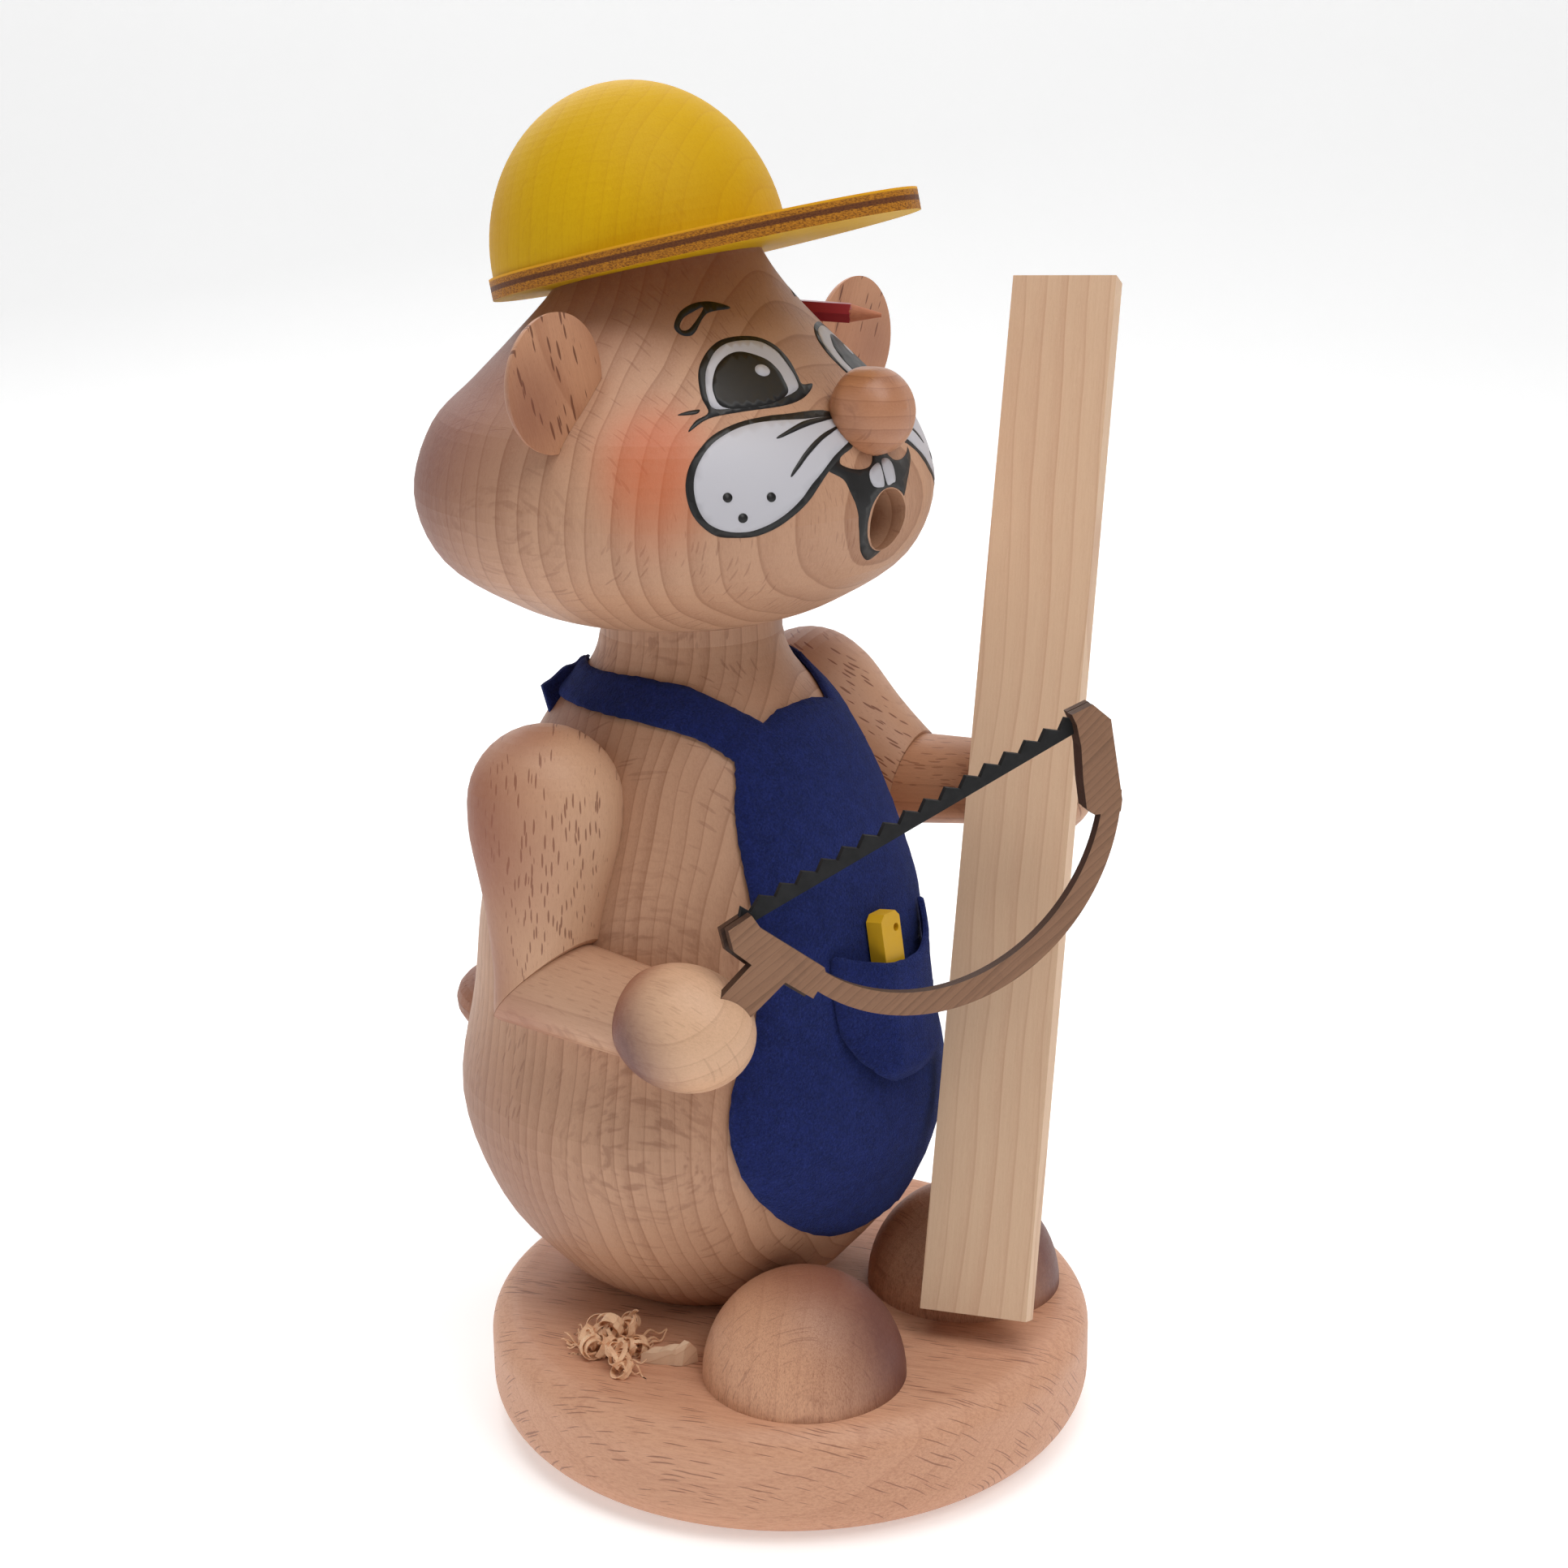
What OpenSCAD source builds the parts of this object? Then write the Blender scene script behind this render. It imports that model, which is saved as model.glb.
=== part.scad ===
// Turned wooden incense smoker: a beaver carpenter with a bow saw, a board and a felt apron.
// Millimetres, +Z up. The origin is the centre of the base's underside.
// The figure faces -Y. Its saw arm is on the -X side and its board arm on the +X side.
// The figure lifts off a round seat on the base; an incense cone burns on the dish inside it.

/* [Base] */
// Diameter of the base
base_d = 111; // [105:0.5:114]
// Thickness of the base
base_h = 21; // [18:0.5:24]
// Rounding radius of the base's upper edge
base_top_round = 5.5; // [3:0.5:8]
// Rounding radius of the base's lower edge
base_low_round = 8; // [4:0.5:9]
// Distance of the figure's axis behind the middle of the base
seat_y = 20; // [18:0.5:21]
// Angle by which the loose figure is turned on its seat, away from the feet
figure_turn = 5; // [0:1:8]

/* [Feet] */
// Diameter of a half-ball foot
foot_d = 35.8; // [32:0.2:37]
// Height of a foot
foot_h = 18.6; // [16:0.2:20]
// Distance of each foot from the middle plane
foot_x = 22.9; // [21:0.1:25]
// Distance of the feet in front of the middle of the base
foot_front = 23.2; // [22:0.1:25]

/* [Body] */
// Largest diameter of the belly
belly_d = 88.6; // [84:0.2:90]
// Diameter of the neck
neck_d = 32.4; // [30:0.2:34]
// Diameter of the bored smoke chamber
chamber_d = 34; // [30:0.5:36]
// Height of the chamber's ceiling above the ground
chamber_top = 98; // [80:1:104]
// Diameter of the smoke duct in the neck
duct_d = 12; // [9:0.5:13]
// Diameter of the air inlet at the back
inlet_d = 11; // [8:0.5:12]

/* [Head] */
// Largest diameter of the head
head_d = 91; // [86:0.5:94]
// Distance that the head sits behind the neck's axis
head_back = 3; // [0:0.5:4]
// Diameter of the mouth, the smoke outlet
mouth_d = 10.4; // [9:0.2:12]
// Diameter of an ear
ear_d = 22.6; // [21:0.2:25]
// Depth of an ear's domed back
ear_dome = 4.5; // [3:0.5:6]
// Diameter of the nose
nose_d = 14.6; // [13:0.2:16]

/* [Hat] */
// Diameter of the domed crown
crown_d = 51.4; // [50:0.2:53]
// Height of the crown
crown_h = 28.8; // [25:0.2:30]
// Thickness of the plywood brim
brim_t = 3.6; // [3:0.2:5]
// Width of the brim beyond the crown at the back
brim_lip = 0.8; // [0.5:0.1:3]
// Length of the peak from the crown's axis
peak_len = 56; // [50:1:60]
// Backward tilt of the hat
hat_tilt = 13; // [8:0.5:18]

/* [Arms] */
// Diameter of the shoulder end of an upper arm
shoulder_d = 26.4; // [24:0.2:28]
// Diameter of the arm at the elbow
elbow_d = 17.8; // [17:0.2:20]
// Diameter of the forearm at the hand
wrist_d = 15.8; // [15:0.2:18]
// Length of an egg-shaped hand
hand_len = 26; // [23:0.5:28]
// Diameter of a hand
hand_d = 21.2; // [20:0.2:23]

/* [Saw] */
// Length of the blade between the blocks
blade_len = 64.8; // [60:0.2:70]
// Radius of the bow's outer edge
bow_r = 35.4; // [35:0.1:36.5]
// Difference between the bow's outer and inner radius
bow_thin = 2.6; // [2:0.1:4]
// Thickness of the wooden frame layer
saw_t = 1.7; // [1.5:0.1:2.5]
// Thickness of the blade
blade_t = 1; // [0.6:0.1:1.2]
// Number of teeth
teeth = 16; // [12:1:20]

/* [Board] */
// Length of the board
board_len = 189; // [170:1:195]
// Width of the board
board_w = 19.4; // [16:0.2:22]
// Thickness of the board
board_t = 5.2; // [4:0.2:6]

/* [Felt] */
// Thickness of the felt
felt_t = 1.2; // [1:0.1:1.5]
// Width of the neck strap
strap_w = 5; // [4:0.2:5.4]

/* [Folding rule] */
// Width of the rule
rule_w = 5.6; // [5:0.1:6.4]
// Thickness of the rule
rule_t = 3.2; // [2.5:0.1:3.3]
// Length of the rule
rule_len = 27; // [22:1:30]

/* [Hidden] */

curve = 96;                       // facets of turned surfaces in the preview
tiny = 0.05;                      // glue gap between pieces of one body
beech = [0.84, 0.64, 0.47];
beech_red = [0.80, 0.56, 0.42];
felt_blue = [0.12, 0.18, 0.45];
hat_yellow = [0.90, 0.70, 0.05];

// Seat and dish
seat_gap = 0.4;                   // radial play of the figure on its seat
seat_r = chamber_d / 2 - seat_gap;
seat_sunk = 2;
seat_rise = 6;
dish_r = 11;
dish_h = 3.4;
dish_wall = 0.8;
dish_sunk = 1;
shavings_at = [-40, 10.6];
chip_at = [-36.6, -3.4];
stand_gap = 0.15;                 // gap under the loose figure
foot_dowel_len = 17;
foot_dowel_sunk = 8;

// Body: heights above the ground with the radius at each
body_z = base_h + stand_gap;
shoulder_z = 121.6;
neck_top = 147.4;
spigot_r = 9;
spigot_h = 7;
body_line = [
    [20.5, body_z], [25.2, body_z + 3.5], [29.8, base_h + 8], [38.8, base_h + 20],
    [belly_d / 2, base_h + 38], [41.2, base_h + 58], [38.0, base_h + 80],
    [28.2, base_h + 105], [18.4, base_h + 117.5], [neck_d / 2, base_h + 123.5]
];

// Head
head_z = neck_top;
mouth_z = 168.2;
nose_at = [0, -39, 186];
head_line = [
    [16.5, head_z], [22.5, head_z + 1], [30.6, head_z + 4.2], [41.4, head_z + 11.6],
    [head_d / 2, head_z + 22.5], [42.0, head_z + 34], [34.6, head_z + 41.5], [27.6, head_z + 48.5],
    [20.6, head_z + 56], [15.8, head_z + 63], [13.5, head_z + 70]
];

// Hat
hat_at = [0, 9.2, 208];
brim_back_r = crown_d / 2 + brim_lip;
hat_dowel_r = 3;

// Ears, pencil, tail
ear_right = [-41, -6, 193];
ear_left = [41.5, -7.2, 191.4];    // glued on a little lower and further forward
pencil_r = 1.9;
pencil_len = 32;
pencil_cone = 6.5;
pencil_tip = [30.5, -21.4, 197.5];
pencil_turn = [93.5, 0, 27.5];    // lays the pencil's axis down, pointing forward and outward
tail_z = 63;
tail_w = 26;
tail_t = 9.5;
tail_root = 36;
tail_out = 57;
tail_rise = 8;                    // degrees

// Arms: shoulder, elbow and hand centres, right side then left side
arm_right = [[-38.6, 1.9, shoulder_z], [-41.6, 0.7, 90.2], [-42, -29.5, 88.6]];
arm_left = [[38.6, 1.9, shoulder_z + 1.6], [41.5, -19.5, 109.5], [44, -43.6, 111.6]];
elbow_extra = 2;                  // the elbow's corner is rounded to this much beyond the rod
dowel_r = 3;
dowel_len = 16;                   // of a shoulder dowel

// Saw: its plane stands upright and turned, and the blade rises from the hand
saw_at = [-36.9, -40.0, 108];
saw_heading = -30;
saw_pitch = 22.4;
blade_low = -0.45;
tooth_root = 1.3;
tooth_h = 1.6;
tooth_start = 1.4;
bow_outside = [35.9, 0.7];
bow_inside = [35.7, 2.5];         // the bow is widest at its middle
rear_block = [[-4.5, 1.3], [0.1, 1.6], [0.6, -1.2], [7.8, -13.6], [7.5, -15.2], [3.9, -17.5], [0.7, -12.2],
    [-3.3, -6.2], [-5.1, -2.5]];
front_block = [[64.5, 3.7], [68.7, 3.4], [70.9, -0.8], [67.8, -15.2], [66.8, -17], [62.1, -15],
    [61.1, -13.2], [62.3, -8.2], [64.1, -2.4], [64.7, 1.5]];
grip = [[-2.6, -6], [2.4, -11.7], [-15.5, -17], [-17.3, -11]];
bow_end = -13.5;                  // the bow is let into the blocks below this line

// Board: the middle of the lower end of its front face, then its turn, lean and tip
board_at = [-1.2, -60.9, 27.5];
board_turn = -73.9;
board_lean = 22.5;
board_tip = -1.5;

// Felt: skins lie on the turned body
felt_gap = 0.15;
bib_top = 134.6;
hem_low = 42.5;
strap_z = 137.4;
strap_end = -16.4;                // the strap's ends meet the bib's corners here
strap_slope = 0.27;
pocket_mid = [1.8, 90.5];
pocket_r = 14.6;
pocket_drop = 7.5;
pocket_tent = 13;                 // half the width of the rise that the rule makes in the pocket
rule_play = 0.4;

// Folding rule
rule_foot = [-1.5, -47.4, 73];
rule_lean = 8.6;

function catmull(a, b, c, d, t) = 0.5 * (2 * b + (c - a) * t + (2 * a - 5 * b + 4 * c - d) * t * t
    + (3 * b - a - 3 * c + d) * t * t * t);
function smooth_line(p, n = 5) = let (last = len(p) - 1) concat(
    [for (i = [0:last - 1], k = [0:n - 1])
        catmull(p[max(i - 1, 0)], p[i], p[i + 1], p[min(i + 2, last)], k / n)],
    [p[last]]);
function arc(c, r, a0, a1, n = 12) = [for (k = [0:n]) let (a = a0 + (a1 - a0) * k / n)
    c + r * [cos(a), sin(a)]];
function unit(v) = v / norm(v);

// A solid turned from a line of [radius, height] points, swollen by grow
module turned(line, grow = 0) {
    first = line[0];
    last = line[len(line) - 1];
    rotate_extrude($fn = curve)
        polygon(concat([[0, first[1]]], [for (p = line) [p[0] + grow, p[1]]], [[0, last[1]]]));
}

// An egg on the Z axis with the given half length and radius
module egg(half_len, r, n = 32) {
    rotate_extrude($fn = curve)
        polygon([for (k = [0:n]) let (a = -90 + 180 * k / n) [k == 0 || k == n ? 0 : r * cos(a), half_len * sin(a)]]);
}

// Puts a child that grows along +Z from the origin onto the line from a to b
module aim(a, b) {
    v = b - a;
    translate(a) rotate([0, acos(v[2] / norm(v)), atan2(v[1], v[0])]) children();
}

// The half space beyond point p, on the side that n points to
module beyond(p, n, size = 120) {
    aim(p, p + n) translate([-size / 2, -size / 2, 0]) cube(size);
}

// The figure's own axis stands behind the middle of the base
module on_seat() {
    translate([0, seat_y, 0]) children();
}

// The feet are glued to the base in line with each other, and the figure is turned against them
module at_foot(side) {
    rotate(-figure_turn) translate([side * foot_x, -foot_front, base_h]) children();
}

// ---- Base ----
module base_plate() color(beech_red) difference() {
    rotate_extrude($fn = curve) polygon(concat(
        [[0, 0]],
        arc([base_d / 2 - base_low_round, base_low_round], base_low_round, -90, 0),
        arc([base_d / 2 - base_top_round, base_h - base_top_round], base_top_round, 0, 90),
        [[0, base_h]]));
    translate([0, seat_y, base_h - seat_sunk]) cylinder(r = seat_r + tiny, h = seat_rise, $fn = curve);
    for (side = [-1, 1]) foot_dowel(side, tiny);
}

module seat_disc() color(beech) translate([0, seat_y, base_h - seat_sunk]) difference() {
    cylinder(r = seat_r, h = seat_sunk + seat_rise, $fn = curve);
    translate([0, 0, seat_sunk + seat_rise - dish_sunk]) cylinder(r = dish_r + 0.3, h = 5, $fn = curve);
}

module foot_dowel(side, grow = 0) {
    at_foot(side) translate([0, 0, -foot_dowel_sunk - grow])
        cylinder(r = dowel_r + grow, h = foot_dowel_len + 2 * grow, $fn = 32);
}

module foot(side) color(beech_red) difference() {
    at_foot(side) intersection() {
        egg(foot_h, foot_d / 2);
        cylinder(r = foot_d, h = foot_h + 1);
    }
    foot_dowel(side, tiny);
}
module right_foot() { foot(-1); }
module left_foot() { foot(1); }
module foot_dowels() color(beech) for (side = [-1, 1]) foot_dowel(side);

// Curls of planed wood, glued beside the right foot
module wood_shavings() color([0.93, 0.78, 0.58]) translate([shavings_at[0], shavings_at[1], base_h + tiny])
    for (k = [0:4]) rotate(72 * k) translate([4.2, 0, 0]) rotate(40 * k)
        rotate_extrude(angle = 250, $fn = 48) translate([1.6, 0]) square([0.6, 2.6 + 0.5 * (k % 3)]);

module wood_chip() color([0.90, 0.72, 0.52]) translate([chip_at[0], chip_at[1], base_h + 0.1]) rotate([0, -12, 35])
    linear_extrude(1.1) polygon([[0, 0], [6.4, -1.2], [8, 1.6], [6.8, 4.2], [1.2, 3]]);

module incense_dish() color([0.75, 0.75, 0.77]) translate([0, seat_y, base_h + seat_rise - dish_sunk + tiny]) difference() {
    cylinder(r = dish_r, h = dish_h, $fn = curve);
    translate([0, 0, dish_wall]) cylinder(r1 = dish_r - 3, r2 = dish_r - dish_wall, h = dish_h, $fn = curve);
}

// ---- Body ----
module body_form(grow = 0) { turned(smooth_line(body_line), grow); }

module body() color(beech) on_seat() difference() {
    union() {
        body_form();
        translate([0, 0, neck_top - 4]) cylinder(r = neck_d / 2, h = 4, $fn = curve);
        translate([0, 0, neck_top - 1]) cylinder(r = spigot_r, h = spigot_h + 1, $fn = curve);
    }
    translate([0, 0, body_z - 1]) cylinder(d = chamber_d, h = chamber_top - body_z + 1, $fn = curve);
    translate([0, 0, chamber_top - 1]) cylinder(d1 = chamber_d - 4, d2 = duct_d, h = 9, $fn = curve);
    translate([0, 0, chamber_top]) cylinder(d = duct_d, h = 80, $fn = 48);
    translate([0, 10, base_h + 13]) rotate([-90, 0, 0]) cylinder(d = inlet_d, h = 60, $fn = 48);
    tail_spigot(tiny);
    for (side = [-1, 1]) shoulder_dowel(side, tiny);
}

module tail_spigot(grow = 0) {
    translate([0, 32 - grow, tail_z]) rotate([-90, 0, 0]) cylinder(r = 4 + grow, h = 14, $fn = 40);
}

module tail() color([0.55, 0.36, 0.25]) on_seat() union() {
    difference() {
        translate([0, tail_root, tail_z]) rotate([tail_rise, 0, 0]) tail_paddle();
        body_form(tiny);
    }
    tail_spigot();
}

// A flat paddle with a rounded rim, lying along +Y
module tail_paddle() {
    rim = tail_t / 2;
    reach = tail_out - tail_root - tail_w / 2;
    hull() {
        translate([0, reach, 0]) rotate_extrude($fn = 48)
            polygon(concat([[0, -rim]], arc([tail_w / 2 - rim, 0], rim, -90, 90, 8), [[0, rim]]));
        translate([0, 2, 0]) rotate([-90, 0, 0]) cylinder(r = rim, h = 2, $fn = 24);
    }
}

// ---- Head ----
module head_form(grow = 0) { translate([0, head_back, 0]) turned(smooth_line(head_line), grow); }
module under_brim() {
    translate(hat_at) rotate([-hat_tilt, 0, 0]) translate([-60, -60, -brim_t / 2]) cube([120, 120, 60]);
}

module head() color(beech) on_seat() difference() {
    head_form();
    under_brim();
    translate([0, 0, head_z - 1]) cylinder(r = spigot_r + tiny, h = spigot_h + 1.3, $fn = curve);
    translate([0, 0, head_z]) cylinder(d = duct_d, h = mouth_z - head_z + duct_d / 2, $fn = 48);
    translate([0, 0, mouth_z]) rotate([90, 0, 0]) cylinder(d = mouth_d, h = 60, $fn = 64);
    nose_spigot(tiny);
    hat_dowel_form(tiny);
    pencil_form(tiny);
}

module nose_spigot(grow = 0) {
    translate(nose_at) rotate([-100, 0, 0]) cylinder(r = 2.5 + grow, h = 13 + grow, $fn = 40);
}

module nose() color(beech_red) on_seat() union() {
    difference() {
        translate(nose_at) rotate([80, 0, 0]) rotate_extrude($fn = curve) polygon(smooth_line([
            [0, -6.4], [4.2, -5.8], [7.1, -2.6], [nose_d / 2, 0.4], [6.4, 3.6], [3.8, 6.0], [0, 6.9]], 6));
        head_form(tiny);
    }
    nose_spigot();
}

module ear(at) color(beech_red) on_seat() difference() {
    translate(at) rotate([-90, 0, 0])
        rotate_extrude($fn = curve) polygon(concat([[0, 0]],
            [for (k = [0:16]) let (a = 90 * k / 16) [k == 16 ? 0 : ear_d / 2 * cos(a), ear_dome * sin(a)]]));
    head_form(tiny);
}
module right_ear() { ear(ear_right); }
module left_ear() { ear(ear_left); }

// ---- Hat ----
module at_hat() { translate(hat_at) rotate([-hat_tilt, 0, 0]) children(); }
function brim_outline(n = 48) = concat(
    [for (k = [0:n]) let (a = 180 * k / n) brim_back_r * [cos(a), sin(a)]],
    [for (k = [1:n - 1]) let (a = 180 + 180 * k / n) [brim_back_r * cos(a), peak_len * sin(a)]]);

module hat_dowel_form(grow = 0) {
    at_hat() translate([0, -5, -14 - grow]) cylinder(r = hat_dowel_r + grow, h = 26 + 2 * grow, $fn = 40);
}

module hat_brim() color(hat_yellow) on_seat() difference() {
    at_hat() translate([0, 0, -brim_t / 2]) linear_extrude(brim_t) polygon(brim_outline());
    hat_dowel_form(tiny);
}

module hat_crown() color(hat_yellow) on_seat() difference() {
    at_hat() translate([0, 0, brim_t / 2]) rotate_extrude($fn = curve) polygon(concat([[0, 0]],
        [for (k = [0:24]) let (a = 90 * k / 24) [k == 24 ? 0 : crown_d / 2 * cos(a), crown_h * sin(a)]]));
    hat_dowel_form(tiny);
}

module hat_dowel() color(beech) on_seat() hat_dowel_form();

// ---- Pencil: stuck in a hole behind the left ear, point forward ----
module pencil_form(grow = 0) {
    translate(pencil_tip) rotate(pencil_turn) translate([0, 0, -pencil_len])
        cylinder(r = pencil_r + grow, h = pencil_len - pencil_cone, $fn = 6);
}

module pencil_casing() color([0.62, 0.07, 0.12]) on_seat() difference() {
    union() {
        pencil_form();
        translate(pencil_tip) rotate(pencil_turn) translate([0, 0, -pencil_cone])
            cylinder(r1 = pencil_r * 0.86, r2 = 0.35, h = pencil_cone - 1, $fn = 32);
    }
    pencil_lead_form(tiny);
}

module pencil_lead_form(grow = 0) {
    translate(pencil_tip) rotate(pencil_turn) translate([0, 0, -pencil_len - 1])
        cylinder(r = 0.3 + grow, h = pencil_len - 0.6, $fn = 24);
}

module pencil_lead() color([0.35, 0.06, 0.08]) on_seat() intersection() {
    pencil_lead_form();
    translate(pencil_tip) rotate(pencil_turn) translate([0, 0, -pencil_len])
        cylinder(r = 2, h = pencil_len + 1, $fn = 24);
}

// ---- Arms: a turned club, sawn at the elbow and glued back at an angle ----
// Outline of a rod's end, rounded about the elbow at height top, from the rod's side to its tip
function elbow_end(top, r, n = 8) = let (ball = elbow_d / 2 + elbow_extra, start = acos(r / ball))
    [for (k = [0:n]) let (a = start + (90 - start) * k / n) [k == n ? 0 : ball * cos(a), top + ball * sin(a)]];

function upper_line(reach) = concat(
    arc([0, 0], shoulder_d / 2, -90, 0, 10),
    smooth_line([[shoulder_d / 2, 0.5], [shoulder_d / 2 - 0.4, reach * 0.2], [elbow_d / 2 + 1.6, reach * 0.55],
        [elbow_d / 2 + 0.1, reach * 0.9], [elbow_d / 2, reach + 2]], 4),
    elbow_end(reach, elbow_d / 2));

function forearm_line(reach) = let (tip = elbow_end(0, elbow_d / 2)) concat(
    [for (k = [len(tip) - 1:-1:0]) [tip[k][0], -tip[k][1]]],
    [[wrist_d / 2, reach], [0, reach]]);

function mitre_normal(arm) = unit(unit(arm[1] - arm[0]) + unit(arm[2] - arm[1]));
function wrist_setback() = hand_len / 2 * sqrt(1 - pow(wrist_d / hand_d, 2));

module shoulder_dowel(side, grow = 0) {
    translate([side * (23 - grow), arm_right[0][1], shoulder_z]) rotate([0, side * 90, 0])
        cylinder(r = dowel_r + grow, h = dowel_len + grow, $fn = 40);
}

module shoulder_dowels() color(beech) on_seat() for (side = [-1, 1]) shoulder_dowel(side);

module upper_arm(arm, side) color(beech) on_seat() difference() {
    aim(arm[0], arm[1]) turned(upper_line(norm(arm[1] - arm[0])));
    beyond(arm[1], mitre_normal(arm));
    body_form(tiny);
    shoulder_dowel(side, tiny);
}

module forearm(arm) color(beech) on_seat() difference() {
    aim(arm[1], arm[2]) turned(forearm_line(norm(arm[2] - arm[1]) - wrist_setback()));
    beyond(arm[1] + tiny * mitre_normal(arm), -mitre_normal(arm));
    body_form(tiny);
}

module hand_form(arm) {
    aim(arm[2], 2 * arm[2] - arm[1]) intersection() {
        egg(hand_len / 2, hand_d / 2);
        translate([0, 0, tiny - wrist_setback()]) cylinder(r = hand_d, h = hand_len + 5);
    }
}

module right_upper_arm() { upper_arm(arm_right, -1); }
module right_forearm() { forearm(arm_right); }
module right_hand() color(beech) on_seat() difference() {
    hand_form(arm_right);
    body_form(tiny);
    at_saw() translate([0, 0, -tiny]) linear_extrude(saw_t + 2 * tiny) grip_form(tiny);
}

module left_upper_arm() { upper_arm(arm_left, 1); }
module left_forearm() { forearm(arm_left); }
module left_hand() color(beech) on_seat() difference() {
    hand_form(arm_left);
    at_board() translate([-60, -60 + board_t + tiny, -20]) cube([120, 60, 300]);
}

// ---- Bow saw: flat layers, drawn in its own plane with the blade along +X ----
module at_saw() {
    translate(saw_at) rotate(saw_heading) rotate([90, -saw_pitch, 0]) children();
}

module grip_form(grow = 0) {
    mid = (grip[0] + grip[1] + grip[2] + grip[3]) / 4;
    polygon([for (p = grip) p + grow * sqrt(2) * unit(p - mid)]);
}

module saw_frame() color([0.52, 0.36, 0.25]) on_seat() at_saw() union() {
    difference() {
        translate([bow_outside[0], bow_outside[1], 0]) cylinder(r = bow_r, h = saw_t, $fn = curve);
        translate([bow_inside[0], bow_inside[1], -1]) cylinder(r = bow_r - bow_thin, h = saw_t + 2, $fn = curve);
        translate([-60, bow_end, -1]) cube([200, 60, saw_t + 2]);
    }
    linear_extrude(saw_t) polygon(rear_block);
    linear_extrude(saw_t) polygon(front_block);
    linear_extrude(saw_t) grip_form();
}

// The blade lies behind the frame layer, its ends behind the blocks; the teeth point up
module saw_blade() color([0.10, 0.10, 0.10]) on_seat() at_saw() translate([0, 0, -blade_t])
    linear_extrude(blade_t) polygon(concat(
        [[-0.8, blade_low], [blade_len + 2, blade_low], [blade_len + 3.4, tooth_root]],
        [for (k = [teeth - 1:-1:0], edge = [1, 0.45]) let (pitch = blade_len / teeth)
            [(k + edge) * pitch + tooth_start, edge == 1 ? tooth_root : tooth_root + tooth_h]],
        [[0.6, tooth_root], [-0.4, 2.9], [-1.4, 1.5]]));

module saw_back_blocks() color([0.40, 0.27, 0.18]) on_seat() at_saw() translate([0, 0, -blade_t - 1.2])
    linear_extrude(1.2) {
        polygon([for (p = rear_block) p + [-0.5, -0.4]]);
        polygon([for (p = front_block) p + [0.5, -0.4]]);
    }

// ---- Board ----
module at_board() {
    translate(board_at) rotate(board_turn) rotate([-board_lean, 0, 0]) rotate([0, board_tip, 0]) children();
}

module board() color([0.90, 0.76, 0.60]) on_seat() at_board()
    translate([-board_w / 2, 0, 0]) cube([board_w, board_t, board_len]);

// ---- Felt ----
module felt_skin(inner, outer) {
    difference() {
        body_form(outer);
        body_form(inner);
    }
}

function apron_half() = smooth_line([
    [9.8, bib_top], [15.5, bib_top - 6], [20.2, bib_top - 13], [22.6, bib_top - 20], [23.8, bib_top - 28],
    [27.5, bib_top - 42], [31.2, bib_top - 60], [30.4, bib_top - 74], [25, bib_top - 84],
    [14, hem_low + 2], [0, hem_low]], 3);

module apron() color(felt_blue) on_seat() intersection() {
    felt_skin(felt_gap, felt_gap + felt_t);
    translate([0, -5, 0]) rotate([90, 0, 0]) linear_extrude(60)
        polygon(concat(apron_half(), [for (k = [len(apron_half()) - 2:-1:0]) let (p = apron_half()[k]) [-p[0], p[1]]]));
}

module neck_strap() color(felt_blue) on_seat() difference() {
    felt_skin(felt_gap, felt_gap + felt_t);
    strap_cut(strap_w / 2, 1);
    strap_cut(-strap_w / 2, -1);
    translate([-60, strap_end - 60, 0]) cube([120, 60, 200]);
}

// Everything above (up = 1) or below (up = -1) one edge of the slanting strap
module strap_cut(rise, up) {
    translate([0, 0, strap_z + rise]) rotate([atan(strap_slope), 0, 0])
        translate([-70, -70, up > 0 ? 0 : -160]) cube([140, 140, 160]);
}

module pocket() color(felt_blue) on_seat() difference() {
    intersection() {
        union() {
            pocket_skin(0);
            intersection() {
                pocket_skin(rule_t + 2 * rule_play + 0.5);
                translate([rule_foot[0], -38, 0]) linear_extrude(120)
                    polygon([[-pocket_tent, 0], [-rule_w / 2 - 1.2, -16], [rule_w / 2 + 1.2, -16], [pocket_tent, 0]]);
            }
        }
        translate([pocket_mid[0], -30, pocket_mid[1]]) rotate([90, 0, 0]) linear_extrude(40) union() {
            translate([-pocket_r, -pocket_drop]) square([2 * pocket_r, pocket_drop]);
            translate([0, -pocket_drop]) intersection() {
                circle(r = pocket_r, $fn = 64);
                translate([-pocket_r, -2 * pocket_r]) square([2 * pocket_r, 2 * pocket_r]);
            }
        }
    }
    at_rule() translate([-rule_w / 2 - rule_play, -rule_play, -rule_play])
        cube([rule_w + 2 * rule_play, rule_t + 8, rule_len + 20]);
}

// Felt lying on the apron, thicker by room
module pocket_skin(room) { felt_skin(felt_gap + felt_t + tiny, felt_gap + 2 * felt_t + room); }

// ---- Folding rule: stands in the pocket and pulls out upwards ----
module at_rule() { translate(rule_foot) rotate([-rule_lean, 0, 0]) children(); }

module folding_rule() color([0.93, 0.74, 0.08]) on_seat() at_rule() difference() {
    translate([-rule_w / 2, 0, 0]) cube([rule_w, rule_t, rule_len]);
    for (side = [-1, 1]) translate([side * rule_w / 2, -1, rule_len]) rotate([0, 45, 0])
        translate([-0.8, 0, -0.8]) cube([1.6, rule_t + 2, 1.6]);
    translate([rule_w / 4, -1, rule_len - 3]) rotate([-90, 0, 0]) cylinder(d = 1.5, h = rule_t + 2, $fn = 24);
}

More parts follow.
